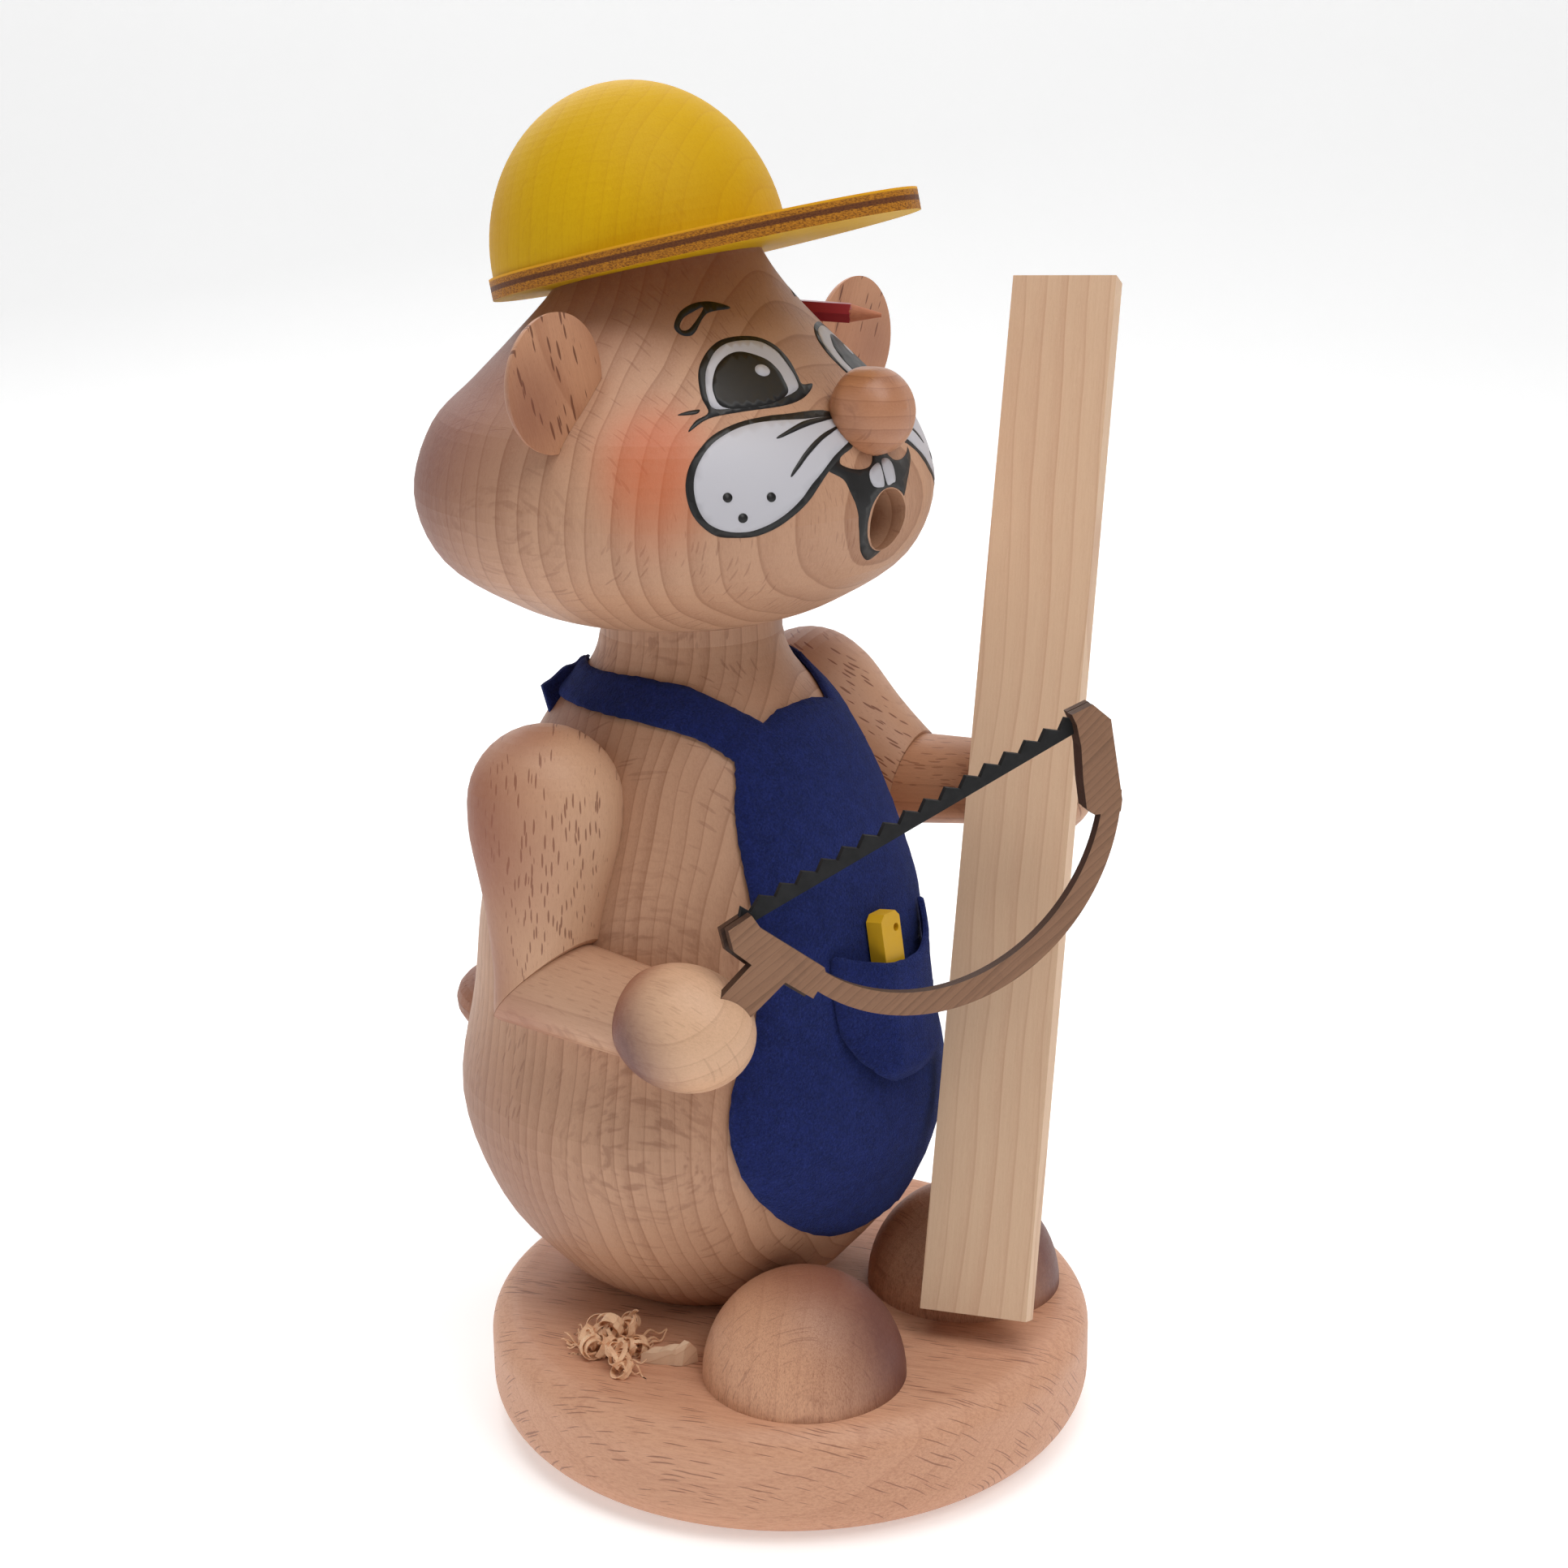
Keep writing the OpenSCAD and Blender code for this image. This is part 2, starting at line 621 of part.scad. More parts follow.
base_plate();
seat_disc();
right_foot();
left_foot();
foot_dowels();
wood_shavings();
wood_chip();
incense_dish();
body();
tail();
head();
nose();
right_ear();
left_ear();
hat_brim();
hat_crown();
hat_dowel();
pencil_casing();
pencil_lead();
shoulder_dowels();
right_upper_arm();
right_forearm();
right_hand();
left_upper_arm();
left_forearm();
left_hand();
saw_frame();
saw_blade();
saw_back_blocks();
board();
apron();
neck_strap();
pocket();
folding_rule();
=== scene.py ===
import math

import bmesh
import bpy
import numpy as np
from mathutils import Matrix, Vector, noise
from mathutils.bvhtree import BVHTree
from mathutils.geometry import delaunay_2d_cdt


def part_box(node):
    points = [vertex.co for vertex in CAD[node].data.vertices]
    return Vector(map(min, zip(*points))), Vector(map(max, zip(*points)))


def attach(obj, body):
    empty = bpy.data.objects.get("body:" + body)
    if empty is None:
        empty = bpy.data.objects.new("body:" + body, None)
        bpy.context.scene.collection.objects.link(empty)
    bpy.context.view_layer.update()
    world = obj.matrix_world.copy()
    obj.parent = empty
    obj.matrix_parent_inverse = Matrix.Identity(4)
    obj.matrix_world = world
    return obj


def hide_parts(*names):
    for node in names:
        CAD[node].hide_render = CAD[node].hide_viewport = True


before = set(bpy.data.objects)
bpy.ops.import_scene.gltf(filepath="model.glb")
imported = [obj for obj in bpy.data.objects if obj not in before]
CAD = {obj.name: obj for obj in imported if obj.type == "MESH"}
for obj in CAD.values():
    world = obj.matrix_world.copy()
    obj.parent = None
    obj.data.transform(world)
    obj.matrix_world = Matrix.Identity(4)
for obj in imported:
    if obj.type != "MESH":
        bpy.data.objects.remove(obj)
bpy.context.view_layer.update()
MM = 0.001

# Places are in millimetres in the row frame, and azimuths in degrees from the figure's front,
# positive towards its left. The studio and the bump distances are in metres.
AXIS_Y = 20.0  # the figure's axis stands this far behind the base's middle
HEAD_Y = 23.0  # the head's axis

# ------------------------------------------------------------ shader helpers


class Shader:
    """A material under construction: short calls that make and link its nodes."""

    def __init__(self, name):
        self.mat = bpy.data.materials.new(name)
        self.mat.use_nodes = True
        self.nt = self.mat.node_tree
        self.nt.nodes.clear()
        self.bsdf = self.nt.nodes.new("ShaderNodeBsdfPrincipled")
        out = self.nt.nodes.new("ShaderNodeOutputMaterial")
        self.nt.links.new(self.bsdf.outputs[0], out.inputs["Surface"])

    @classmethod
    def of(cls, mat):
        """The same helper around a finished material, to add to it."""
        s = cls.__new__(cls)
        s.mat, s.nt = mat, mat.node_tree
        s.bsdf = s.nt.nodes["Principled BSDF"]
        return s

    def put(self, socket, value):
        """Links an output to the socket, or sets a plain value in the socket's own form."""
        if isinstance(value, bpy.types.NodeSocket):
            self.nt.links.new(value, socket)
            return
        if socket.type == "RGBA":
            value = (*value[:3], 1.0) if hasattr(value, "__len__") else (value, value, value, 1.0)
        elif socket.type == "VECTOR" and not hasattr(value, "__len__"):
            value = (value, value, value)
        socket.default_value = value

    def node(self, kind, inputs, out=0, **props):
        """One output of a new node; props are the node's own settings."""
        n = self.nt.nodes.new("ShaderNode" + kind)
        for key, value in props.items():
            setattr(n, key, value)
        for key, value in inputs.items():
            self.put(n.inputs[key], value)
        return n.outputs[out]

    def math(self, op, a, b=0.0):
        return self.node("Math", {0: a, 1: b}, operation=op)

    def add(self, a, b):
        return self.math("ADD", a, b)

    def sub(self, a, b):
        return self.math("SUBTRACT", a, b)

    def mul(self, a, b):
        return self.math("MULTIPLY", a, b)

    def vmath(self, op, a, b=(0, 0, 0), out=0):
        return self.node("VectorMath", {0: a, 1: b}, out, operation=op)

    def dot(self, a, b):
        return self.vmath("DOT_PRODUCT", a, tuple(b), out=1)

    def mix(self, fac, a, b):
        """Colour a where fac is 0, and b where it is 1."""
        n = self.nt.nodes.new("ShaderNodeMix")
        n.data_type = "RGBA"
        for index, value in ((0, fac), (6, a), (7, b)):
            self.put(n.inputs[index], value)
        return n.outputs[2]

    def step(self, value, lo, hi, a=0.0, b=1.0):
        """value from lo to hi becomes a to b, smoothly and clamped."""
        return self.node("MapRange", {0: value, 1: lo, 2: hi, 3: a, 4: b}, interpolation_type="SMOOTHSTEP")

    def noise(self, vec, scale=1.0, detail=2.0, rough=0.5):
        return self.node("TexNoise", {"Vector": vec, "Scale": scale, "Detail": detail, "Roughness": rough})

    def voronoi(self, vec, out=0):
        return self.node("TexVoronoi", {"Vector": vec, "Scale": 1.0}, out)

    def combine(self, x, y, z):
        return self.node("CombineXYZ", {0: x, 1: y, 2: z})

    def mm(self):
        """The surface point in the row frame, in millimetres."""
        coord = self.nt.nodes.new("ShaderNodeTexCoord").outputs["Object"]
        return self.vmath("MULTIPLY", coord, (1000.0, 1000.0, 1000.0))

    def facing(self, direction):
        """How squarely the surface faces along direction, either way."""
        normal = self.nt.nodes.new("ShaderNodeNewGeometry").outputs["Normal"]
        return self.math("ABSOLUTE", self.dot(normal, direction))

    def near(self, p, spot, radius, squash=(1, 1, 1)):
        """1 round spot, falling smoothly to 0 at radius; squash narrows it along an axis."""
        q = self.vmath("MULTIPLY", self.vmath("SUBTRACT", p, tuple(spot)), tuple(squash))
        return self.step(self.vmath("LENGTH", q, out=1), radius * 0.25, radius, 1.0, 0.0)

    def bump(self, height, distance, strength):
        return self.node("Bump", {"Height": height, "Distance": distance, "Strength": strength})

    def finish(self, color, rough, normal=None, **uniform):
        """Fills the surface shader's sockets and gives the material."""
        self.put(self.bsdf.inputs["Base Color"], color)
        self.put(self.bsdf.inputs["Roughness"], rough)
        if normal is not None:
            self.put(self.bsdf.inputs["Normal"], normal)
        for key, value in uniform.items():
            self.put(self.bsdf.inputs[key.replace("_", " ")], value)
        return self.mat


def srgb(*c):
    """Linear colour of an sRGB colour given as 0 to 255."""
    return tuple(((x / 255 + 0.055) / 1.055) ** 2.4 if x > 10 else x / 255 / 12.92 for x in c)


def heading(az):
    """The level direction az degrees from the figure's front towards its left."""
    a = math.radians(az)
    return Vector((math.sin(a), -math.cos(a), 0.0)).normalized()


BEECH_LIGHT = srgb(196, 152, 122)
BEECH_DARK = srgb(158, 112, 84)
FLECK = srgb(122, 72, 50)


def wood(name, grain, ring, centre=(0, AXIS_Y, 60), pith=90.0, spacing=3.3,
         light=BEECH_LIGHT, dark=BEECH_DARK, fleck=FLECK, bands=0.5, flecks=0.75, rays=0.35,
         mark=(0.5, 4.0), fibres=0.55, speckle=0.5, brown=(), edge=None, rough=0.5, gloss=0.4, coat=0.0):
    """Turned wood: growth rings seen as bands, and wood rays as short dashes, or as faint ovals
    where a face lies along them.

    grain is the fibres' direction. ring points away from the pith, which lies pith mm before
    centre, and spacing is a ring's width. bands, flecks, rays, fibres and speckle are strengths.
    mark is the width and spacing of the dashes. brown is a list of (spot, radius, strength, tint)
    for sprayed shading, and over the head's top for painted shade of the hat too, with a squash as a
    fifth value where it isn't round. edge is (plane normal, colour) for burnt or layered rims."""
    s = Shader(name)
    p = s.mm()
    g = Vector(grain).normalized()
    r = Vector(ring)
    r = (r - g * r.dot(g)).normalized()
    t = g.cross(r)
    q = s.vmath("SUBTRACT", p, tuple(centre))
    u, v, w = s.dot(q, r), s.dot(q, t), s.dot(q, g)
    slow = s.noise(s.combine(s.mul(u, 0.03), s.mul(v, 0.03), s.mul(w, 0.012)), 1.0, 2.0)
    # rings: distance from the pith, with uneven widths
    du = s.add(u, pith)
    d = s.add(s.math("SQRT", s.add(s.mul(du, du), s.mul(v, v))), s.mul(slow, 9.0))
    d = s.add(d, s.mul(s.noise(s.combine(s.mul(d, 0.16), 3.0, 0.0), 1.0, 1.0), 3.0))
    turns = s.mul(d, 1.0 / spacing)
    part = s.math("FRACT", turns)
    each = s.node("TexWhiteNoise", {"W": s.math("FLOOR", turns)}, 0, noise_dimensions="1D")
    late = s.step(part, 0.965, 1.0, 1.0, 0.0)
    band = s.mul(s.mul(s.step(part, 0.05, 0.96), late), s.step(each, 0.0, 1.0, 0.4, 1.0))
    rim = s.mul(s.step(part, 0.84, 0.95), late)
    # fibres and pores
    fibre = s.noise(s.combine(s.mul(u, 2.8), s.mul(v, 2.8), s.mul(w, 0.14)), 1.0, 4.0, 0.65)
    fine = s.noise(s.combine(s.mul(u, 7.0), s.mul(v, 7.0), s.mul(w, 1.3)), 1.0, 3.0, 0.65)
    # wood rays: thin lenses, flat across v, and small specks between them
    bent = s.add(v, s.mul(s.noise(s.combine(s.mul(u, 0.12), s.mul(v, 0.12), s.mul(w, 0.12)), 1.0, 1.0), 1.2))
    cell = s.combine(s.mul(u, 1 / 12.0), s.mul(bent, 1 / mark[0]), s.mul(w, 1 / mark[1]))
    pick = s.node("SeparateColor", {0: s.voronoi(cell, out=1)})
    reach = s.step(pick, 0.15, 1.0, 0.1, 0.38)
    lens = s.mul(s.step(s.sub(reach, s.voronoi(cell)), 0.0, 0.09), s.step(pick, 0.15, 0.4))
    small = s.combine(s.mul(u, 1 / 4.0), s.mul(bent, 1 / 0.36), s.mul(w, 1 / 1.7))
    specks = s.step(s.voronoi(small), 0.2, 0.06)
    flat = s.facing(t)
    marks = s.mul(s.mul(s.add(lens, s.mul(specks, 0.35)), s.step(flat, 0.8, 1.0, 1.0, 0.15)), flecks)
    # where the face lies along the rays: faint flakes, which a round face turns into fine ovals
    flakes = s.noise(s.combine(s.mul(u, 0.14), s.mul(bent, 2.4), s.mul(w, 0.4)), 1.0, 2.0, 0.6)
    figure = s.mul(s.mul(s.step(flakes, 0.48, 0.66), s.step(flat, 0.9, 0.99)), rays)
    tone = s.add(s.mul(band, bands * 0.7), s.mul(s.sub(slow, 0.5), 0.5))
    tone = s.add(tone, s.mul(s.sub(fibre, 0.5), fibres))
    tone = s.add(tone, s.mul(s.sub(fine, 0.5), speckle))
    color = s.mix(s.step(tone, -0.25, 0.95), light, dark)
    color = s.mix(s.mul(rim, bands * 0.8), color, dark)
    flake = tuple((a + b) / 2 for a, b in zip(dark, fleck))
    color = s.mix(s.math("MINIMUM", figure, 0.6), color, flake)
    color = s.mix(s.math("MINIMUM", marks, 0.85), color, fleck)
    # sprayed shading, a little grainy; the spot over the head's top is painted shadow of the hat as well
    spray = s.add(0.85, s.mul(s.noise(p, 0.9, 4.0, 0.7), 0.3))
    for spot, radius, strength, tint, *squash in brown:
        mask = s.mul(s.mul(s.near(p, spot, radius, *squash), strength), spray)
        color = s.mix(s.math("MINIMUM", mask, 0.95), color, tint)
    if edge:
        color = s.mix(s.step(s.facing(edge[0]), 0.75, 0.35), color, edge[1])
    height = s.add(s.sub(s.mul(fibre, 0.5), s.mul(marks, 0.7)), s.mul(fine, 0.35))
    uniform = {"Specular_IOR_Level": gloss}
    if coat:
        uniform.update(Coat_Weight=coat, Coat_Roughness=0.28)
    return s.finish(color, s.step(fibre, 0.2, 0.8, rough - 0.06, rough + 0.08),
                    s.bump(height, 0.00012, 0.5), **uniform)


UP = (0, 0, 1)
FRONT = heading(-2)
SIDE = heading(25)  # the way the body's rings face


def paint(name, color, rough, mottle=0.08):
    """A painted or stained finish with a little unevenness."""
    s = Shader(name)
    p = s.mm()
    n = s.noise(s.vmath("MULTIPLY", p, (0.5, 0.5, 0.5)), 1.0, 4.0, 0.6)
    fine = s.noise(p, 3.0, 2.0, 0.6)
    shade = s.add(s.mul(s.sub(n, 0.5), mottle * 2), s.mul(s.sub(fine, 0.5), mottle))
    dark = tuple(c * 0.45 for c in color)
    bright = tuple(min(1.0, c * 1.3) for c in color)
    col = s.mix(s.step(shade, 0.0, 0.4), color, bright)
    col = s.mix(s.step(shade, 0.0, -0.4), col, dark)
    return s.finish(col, s.step(n, 0.2, 0.8, rough - 0.05, rough + 0.1), s.bump(n, 0.00003, 0.4),
                    Specular_IOR_Level=0.45)


FELT_BLUE = srgb(30, 41, 104)


def felt():
    """Wool felt: a matted tangle of short fibres, with a soft sheen."""
    s = Shader("felt_blue")
    p = s.mm()
    cloud = s.noise(p, 0.35, 4.0, 0.7)
    drift = s.node("TexNoise", {"Vector": p, "Scale": 0.9, "Detail": 2.0}, 1)
    swirl = s.vmath("ADD", p, s.vmath("MULTIPLY", drift, (1.6, 1.6, 1.6)))
    hair_a = s.noise(s.vmath("MULTIPLY", swirl, (5.0, 1.1, 1.3)), 1.0, 3.0, 0.7)
    hair_b = s.noise(s.vmath("MULTIPLY", swirl, (1.2, 4.0, 5.4)), 1.0, 3.0, 0.7)
    hair = s.math("MAXIMUM", hair_a, hair_b)
    tangle = s.noise(p, 2.2, 4.0, 0.7)
    shade = s.add(s.mul(s.sub(cloud, 0.5), 0.8), s.mul(s.sub(tangle, 0.5), 1.4))
    shadow, bright = (tuple(c * k for c in FELT_BLUE) for k in (0.55, 1.35))
    col = s.mix(s.step(shade, -0.35, 0.4), shadow, bright)
    col = s.mix(s.step(hair, 0.58, 0.76, 0.0, 0.55), col, srgb(62, 80, 166))
    height = s.add(s.mul(hair, 0.8), tangle)
    return s.finish(col, 0.95, s.bump(height, 0.0008, 0.9), Sheen_Weight=0.35, Sheen_Roughness=0.5,
                    Sheen_Tint=srgb(110, 128, 200), Specular_IOR_Level=0.15)


def placed(name, data):
    """A new object in the scene."""
    o = bpy.data.objects.new(name, data)
    bpy.context.scene.collection.objects.link(o)
    return o


def dress(node, mat):
    """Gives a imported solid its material."""
    o = CAD[node]
    o.data.materials.clear()
    o.data.materials.append(mat)
    for poly in o.data.polygons:
        poly.use_smooth = True


CAMERA_SPOT = Vector((-357.9, -262.5, 252.1))
CAMERA_TURN = (-53.74, 16.74, -0.68)  # yaw, how far it looks down, and roll, in degrees


def camera():
    """The photograph's viewpoint: 60 mm lens, looking slightly down at the figure's right front."""
    yaw, pitch, roll = (math.radians(a) for a in CAMERA_TURN)
    right = Vector((math.cos(yaw), math.sin(yaw), 0))
    level = Vector((-math.sin(yaw), math.cos(yaw), 0))
    ahead = level * math.cos(pitch) - Vector((0, 0, math.sin(pitch)))
    up = right.cross(ahead)
    x = right * math.cos(roll) + up * math.sin(roll)
    y = up * math.cos(roll) - right * math.sin(roll)
    cam = placed("camera", bpy.data.cameras.new("camera"))
    cam.data.lens, cam.data.sensor_width = 60.34, 36.0
    cam.data.clip_start = 0.01
    m = Matrix((x, y, -ahead)).transposed().to_4x4()
    m.translation = CAMERA_SPOT * MM
    cam.matrix_world = m
    bpy.context.scene.camera = cam
    return right, level


def lamp(name, spot, aim, size, power):
    """A round white area light at spot, turned towards aim."""
    light = bpy.data.lights.new(name, "AREA")
    light.shape, light.size, light.energy = "DISK", size, power
    o = placed(name, light)
    o.location = spot
    o.rotation_euler = (aim - spot).to_track_quat("-Z", "Y").to_euler()


def lights(right, level):
    """A soft key from the right, a fill from the left, one above and one behind, and a dim sky."""
    aim = Vector((0, 0.01, 0.12))
    lamp("key", aim + right * 0.6 - level * 0.6 + Vector((0, 0, 1.0)), aim, 0.7, 5.2)
    lamp("fill", aim - right * 0.9 - level * 0.5 + Vector((0, 0, 0.35)), aim, 0.8, 1.2)
    lamp("above", aim + Vector((0, 0, 1.1)) - level * 0.1, aim, 0.9, 7.0)
    lamp("behind", aim + level * 0.9 + Vector((0, 0, 0.6)) - right * 0.3, aim, 0.7, 2.0)
    world = bpy.data.worlds.new("studio")
    world.use_nodes = True
    back = world.node_tree.nodes["Background"]
    back.inputs[0].default_value = (1.0, 1.0, 1.0, 1.0)
    back.inputs[1].default_value = 0.18
    bpy.context.scene.world = world


def backdrop(right, level):
    """A pale sweep: a floor and a wall joined by a curve, brighter towards the top."""
    front, back, bend, top, half_width = -5.0, 1.0, 0.7, 2.6, 4.0
    steps = [(front, 0.0), (back, 0.0)]
    turns = np.linspace(0.12, math.pi / 2, 14)
    steps += [(back + bend * math.sin(a), bend * (1 - math.cos(a))) for a in turns]
    steps += [(back + bend, top)]
    verts = [level * along + right * side + Vector((0, 0, high))
             for along, high in steps for side in (-half_width, half_width)]
    faces = [(2 * i, 2 * i + 1, 2 * i + 3, 2 * i + 2) for i in range(len(steps) - 1)]
    mesh = bpy.data.meshes.new("sweep")
    mesh.from_pydata(verts, [], faces)
    sweep = placed("sweep", mesh)
    for poly in mesh.polygons:
        poly.use_smooth = True
    s = Shader("sweep_paper")
    cloud = s.noise(s.mm(), 0.01, 2.0)
    high = s.node("SeparateXYZ", {0: s.mm()}, 2)
    # painted light: the sweep glows, from 0.37 on the floor up to 0.75 at 1.2 m high, and so lights the
    # figure too
    s.put(s.bsdf.inputs["Emission Strength"], s.step(high, 0.0, 1200.0, 0.37, 0.75))
    paper = s.mix(cloud, (0.86, 0.86, 0.86), (0.88, 0.88, 0.88))
    mesh.materials.append(s.finish(paper, 0.9, Emission_Color=(1.0, 1.0, 1.0)))


bpy.context.scene.view_settings.view_transform = "Standard"
RIGHT, LEVEL = camera()
lights(RIGHT, LEVEL)
backdrop(RIGHT, LEVEL)

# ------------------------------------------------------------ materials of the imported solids

HEAD_MID = (0, HEAD_Y, 172)
RUST = srgb(120, 66, 50)
REDDISH = srgb(146, 84, 60)
MAUVE = srgb(104, 60, 54)
BLUSH = srgb(196, 92, 46)
EDGE_DARK = srgb(72, 49, 37)
CAMERA_SIDE = (-0.785, -0.62, 0)  # level, towards the camera

# base, feet and body
dress("base_plate", wood("beech_base", heading(18.4), (-0.67, -0.22, 0.7), (0, 0, -30), pith=60, spacing=4.2,
                         light=srgb(214, 162, 130), dark=srgb(170, 112, 84), fleck=srgb(122, 70, 52),
                         bands=0.14, flecks=0.6, rays=0.0, mark=(0.34, 8.0), fibres=1.3, speckle=0.7))
for side, x, y, turn in (("right", -25, -21, 40), ("left", 21, -25, -30)):
    shading = [((x + 14, y - 15, 30), 33, 1.0, MAUVE), ((x + 3, y - 1, 44), 17, 0.55, REDDISH)]
    dress(f"{side}_foot", wood(f"beech_foot_{side}", UP, heading(turn), (x, y, 20), pith=60, spacing=4.5,
                               light=srgb(214, 162, 128), dark=srgb(160, 106, 78), bands=0.15, flecks=0.3,
                               mark=(0.4, 5.0), fibres=1.0, speckle=2.2, brown=shading))
dress("body", wood("beech_body", UP, SIDE, spacing=2.7, bands=0.65, flecks=0.35, rays=0.5,
                   brown=[((-40, 50, 44), 46, 0.5, RUST), ((-26, 38, 134), 24, 0.6, RUST),
                          ((-34, 30, 100), 20, 0.3, RUST)]))
dress("tail", wood("beech_tail", (0, 1, 0.1), UP, (0, 60, 60), light=srgb(178, 124, 96),
                   dark=srgb(132, 86, 64), brown=[((0, 78, 66), 22, 0.6, RUST)]))

# head, with its two rosy cheeks; the brown spot over its top, at (-8, 20, 216), is sprayed shading and also
# painted shadow of the hat
cheeks = [((x, -2.2, 184.5), 14.5, 0.66, BLUSH, (1, 1, 0.62)) for x in (-36.4, 36.4)]
dress("head", wood("beech_head", UP, FRONT, HEAD_MID, pith=-140, spacing=4.0, bands=0.7, flecks=0.3, rays=0.4,
                   brown=[((-30, 58, 186), 52, 0.9, RUST), ((-28, 56, 152), 34, 0.55, RUST),
                          ((-8, 20, 216), 34, 0.8, RUST), *cheeks]))
dress("nose", wood("beech_nose", FRONT, UP, (0, -19, 150), spacing=2.2, light=srgb(186, 130, 96),
                   dark=srgb(150, 94, 64), flecks=0.3, rough=0.42, coat=0.25))
for side, x, lean in (("right", -41, -0.3), ("left", 41, 0.5)):
    dress(f"{side}_ear", wood(f"beech_ear_{side}", (lean, 0, 1), FRONT, (x, 14, 192), flecks=0.9,
                              mark=(0.8, 5.0), light=srgb(198, 146, 112), dark=srgb(160, 106, 76),
                              fleck=srgb(104, 58, 38), brown=[((x * 1.15, 20, 190), 14, 0.6, RUST)]))

# arms
dress("right_upper_arm", wood("beech_arm_right", (-0.09, -0.03, -1), CAMERA_SIDE, light=srgb(208, 164, 132),
                              bands=0.06, flecks=0.75, rays=0.1,
                              brown=[((-54, 34, 118), 30, 0.9, REDDISH), ((-50, 32, 92), 18, 0.7, REDDISH),
                                     ((-44, 22, 140), 12, 0.6, REDDISH)]))
dress("left_upper_arm", wood("beech_arm_left", (0.12, -0.86, -0.48), CAMERA_SIDE, bands=0.05, flecks=0.9,
                             brown=[((40, 30, 132), 24, 0.6, RUST)]))
dress("right_forearm", wood("beech_forearm_right", (0, -1, -0.05), (-0.6, 0, 0.8), bands=0.35, flecks=0.22,
                            brown=[((-46, 24, 78), 20, 0.6, REDDISH), ((-44, -6, 82), 11, 0.6, RUST)]))
dress("left_forearm", wood("beech_forearm_left", (0.1, -1, 0.09), (-0.6, 0, 0.8), light=srgb(196, 146, 112),
                           bands=0.4, flecks=0.5, brown=[((44, 0, 104), 14, 0.5, RUST)]))
dress("right_hand", wood("beech_hand_right", (0, -1, -0.05), (-0.5, 0, 0.85), light=srgb(222, 180, 146),
                         bands=0.2, flecks=0.15,
                         brown=[((-50, 0, 84), 19, 1.0, MAUVE), ((-42, 3, 92), 15, 0.9, REDDISH)]))
dress("left_hand", wood("beech_hand_left", (0.1, -1, 0.09), (-0.5, 0, 0.85), bands=0.3, flecks=0.6))

# hat
HAT_AXIS = Vector((0, 0.225, 0.974))
YELLOW = dict(light=srgb(208, 164, 2), dark=srgb(186, 134, 0), fleck=srgb(168, 110, 6), bands=0.2, flecks=0.1,
              rays=0.0, speckle=0.8, rough=0.55, gloss=0.15)
dress("hat_crown", wood("yellow_crown", UP, SIDE, (0, 29, 200),
                        brown=[((-14, 42, 214), 16, 0.35, srgb(178, 110, 20))], **YELLOW))


def plywood_brim():
    """Stained plywood: yellow faces, and an edge of ochre plies with one dark glue layer."""
    mat = wood("yellow_brim", FRONT, UP, (0, 29, 150), **YELLOW)
    s = Shader.of(mat)
    high = s.dot(s.mm(), HAT_AXIS)
    levels = [Vector(v.co).dot(HAT_AXIS) / MM for v in CAD["hat_brim"].data.vertices]
    up = s.mul(s.sub(high, min(levels)), 1 / (max(levels) - min(levels)))
    speckle = s.noise(s.vmath("MULTIPLY", s.mm(), (2.2, 2.2, 6.0)), 1.0, 3.0, 0.7)
    ochre = s.mix(s.step(speckle, 0.4, 0.62), srgb(186, 122, 34), srgb(118, 70, 26))
    brown_ply = s.mix(s.step(speckle, 0.35, 0.65), srgb(112, 66, 34), srgb(84, 48, 30))
    wobble = s.add(up, s.mul(s.sub(speckle, 0.5), 0.08))
    layer = s.mul(s.step(wobble, 0.36, 0.42), s.step(wobble, 0.66, 0.6))
    side = s.mix(layer, ochre, brown_ply)
    side = s.mix(s.step(wobble, 0.86, 0.93), side, srgb(222, 160, 30))
    old = s.bsdf.inputs["Base Color"].links[0].from_socket
    s.put(s.bsdf.inputs["Base Color"], s.mix(s.step(s.facing(HAT_AXIS), 0.7, 0.4), old, side))
    return mat


dress("hat_brim", plywood_brim())

# hidden pieces, board, saw and rule
for node in ("seat_disc", "foot_dowels", "hat_dowel", "shoulder_dowels"):
    dress(node, wood(f"beech_{node}", UP, SIDE))
dress("board", wood("softwood", (0.361, 0.131, 0.923), (0.277, -0.96, 0.028), (1, -39, 26), spacing=3.8,
                    light=srgb(222, 188, 156), dark=srgb(198, 154, 124), fleck=srgb(186, 130, 100),
                    bands=0.5, flecks=0.05, rays=0.0, rough=0.6))
SAW_NORMAL = (0.5, 0.866, 0.0)
SAW_GRAIN = (0.69, -0.4, 0.6)
WALNUT = dict(light=srgb(146, 106, 78), dark=srgb(98, 66, 47), fleck=srgb(74, 48, 36), spacing=1.3,
              bands=0.5, flecks=0.5, rays=0, edge=(SAW_NORMAL, EDGE_DARK))
BURNT = {**WALNUT, "light": EDGE_DARK, "dark": srgb(40, 27, 22)}
dress("saw_frame", wood("walnut_saw", SAW_GRAIN, UP, **WALNUT))
dress("saw_back_blocks", wood("walnut_dark", SAW_GRAIN, UP, **BURNT))
dress("saw_blade", paint("blade_black", srgb(15, 15, 17), 0.75, 0.15))
dress("folding_rule", paint("rule_yellow", srgb(222, 172, 24), 0.4, 0.12))


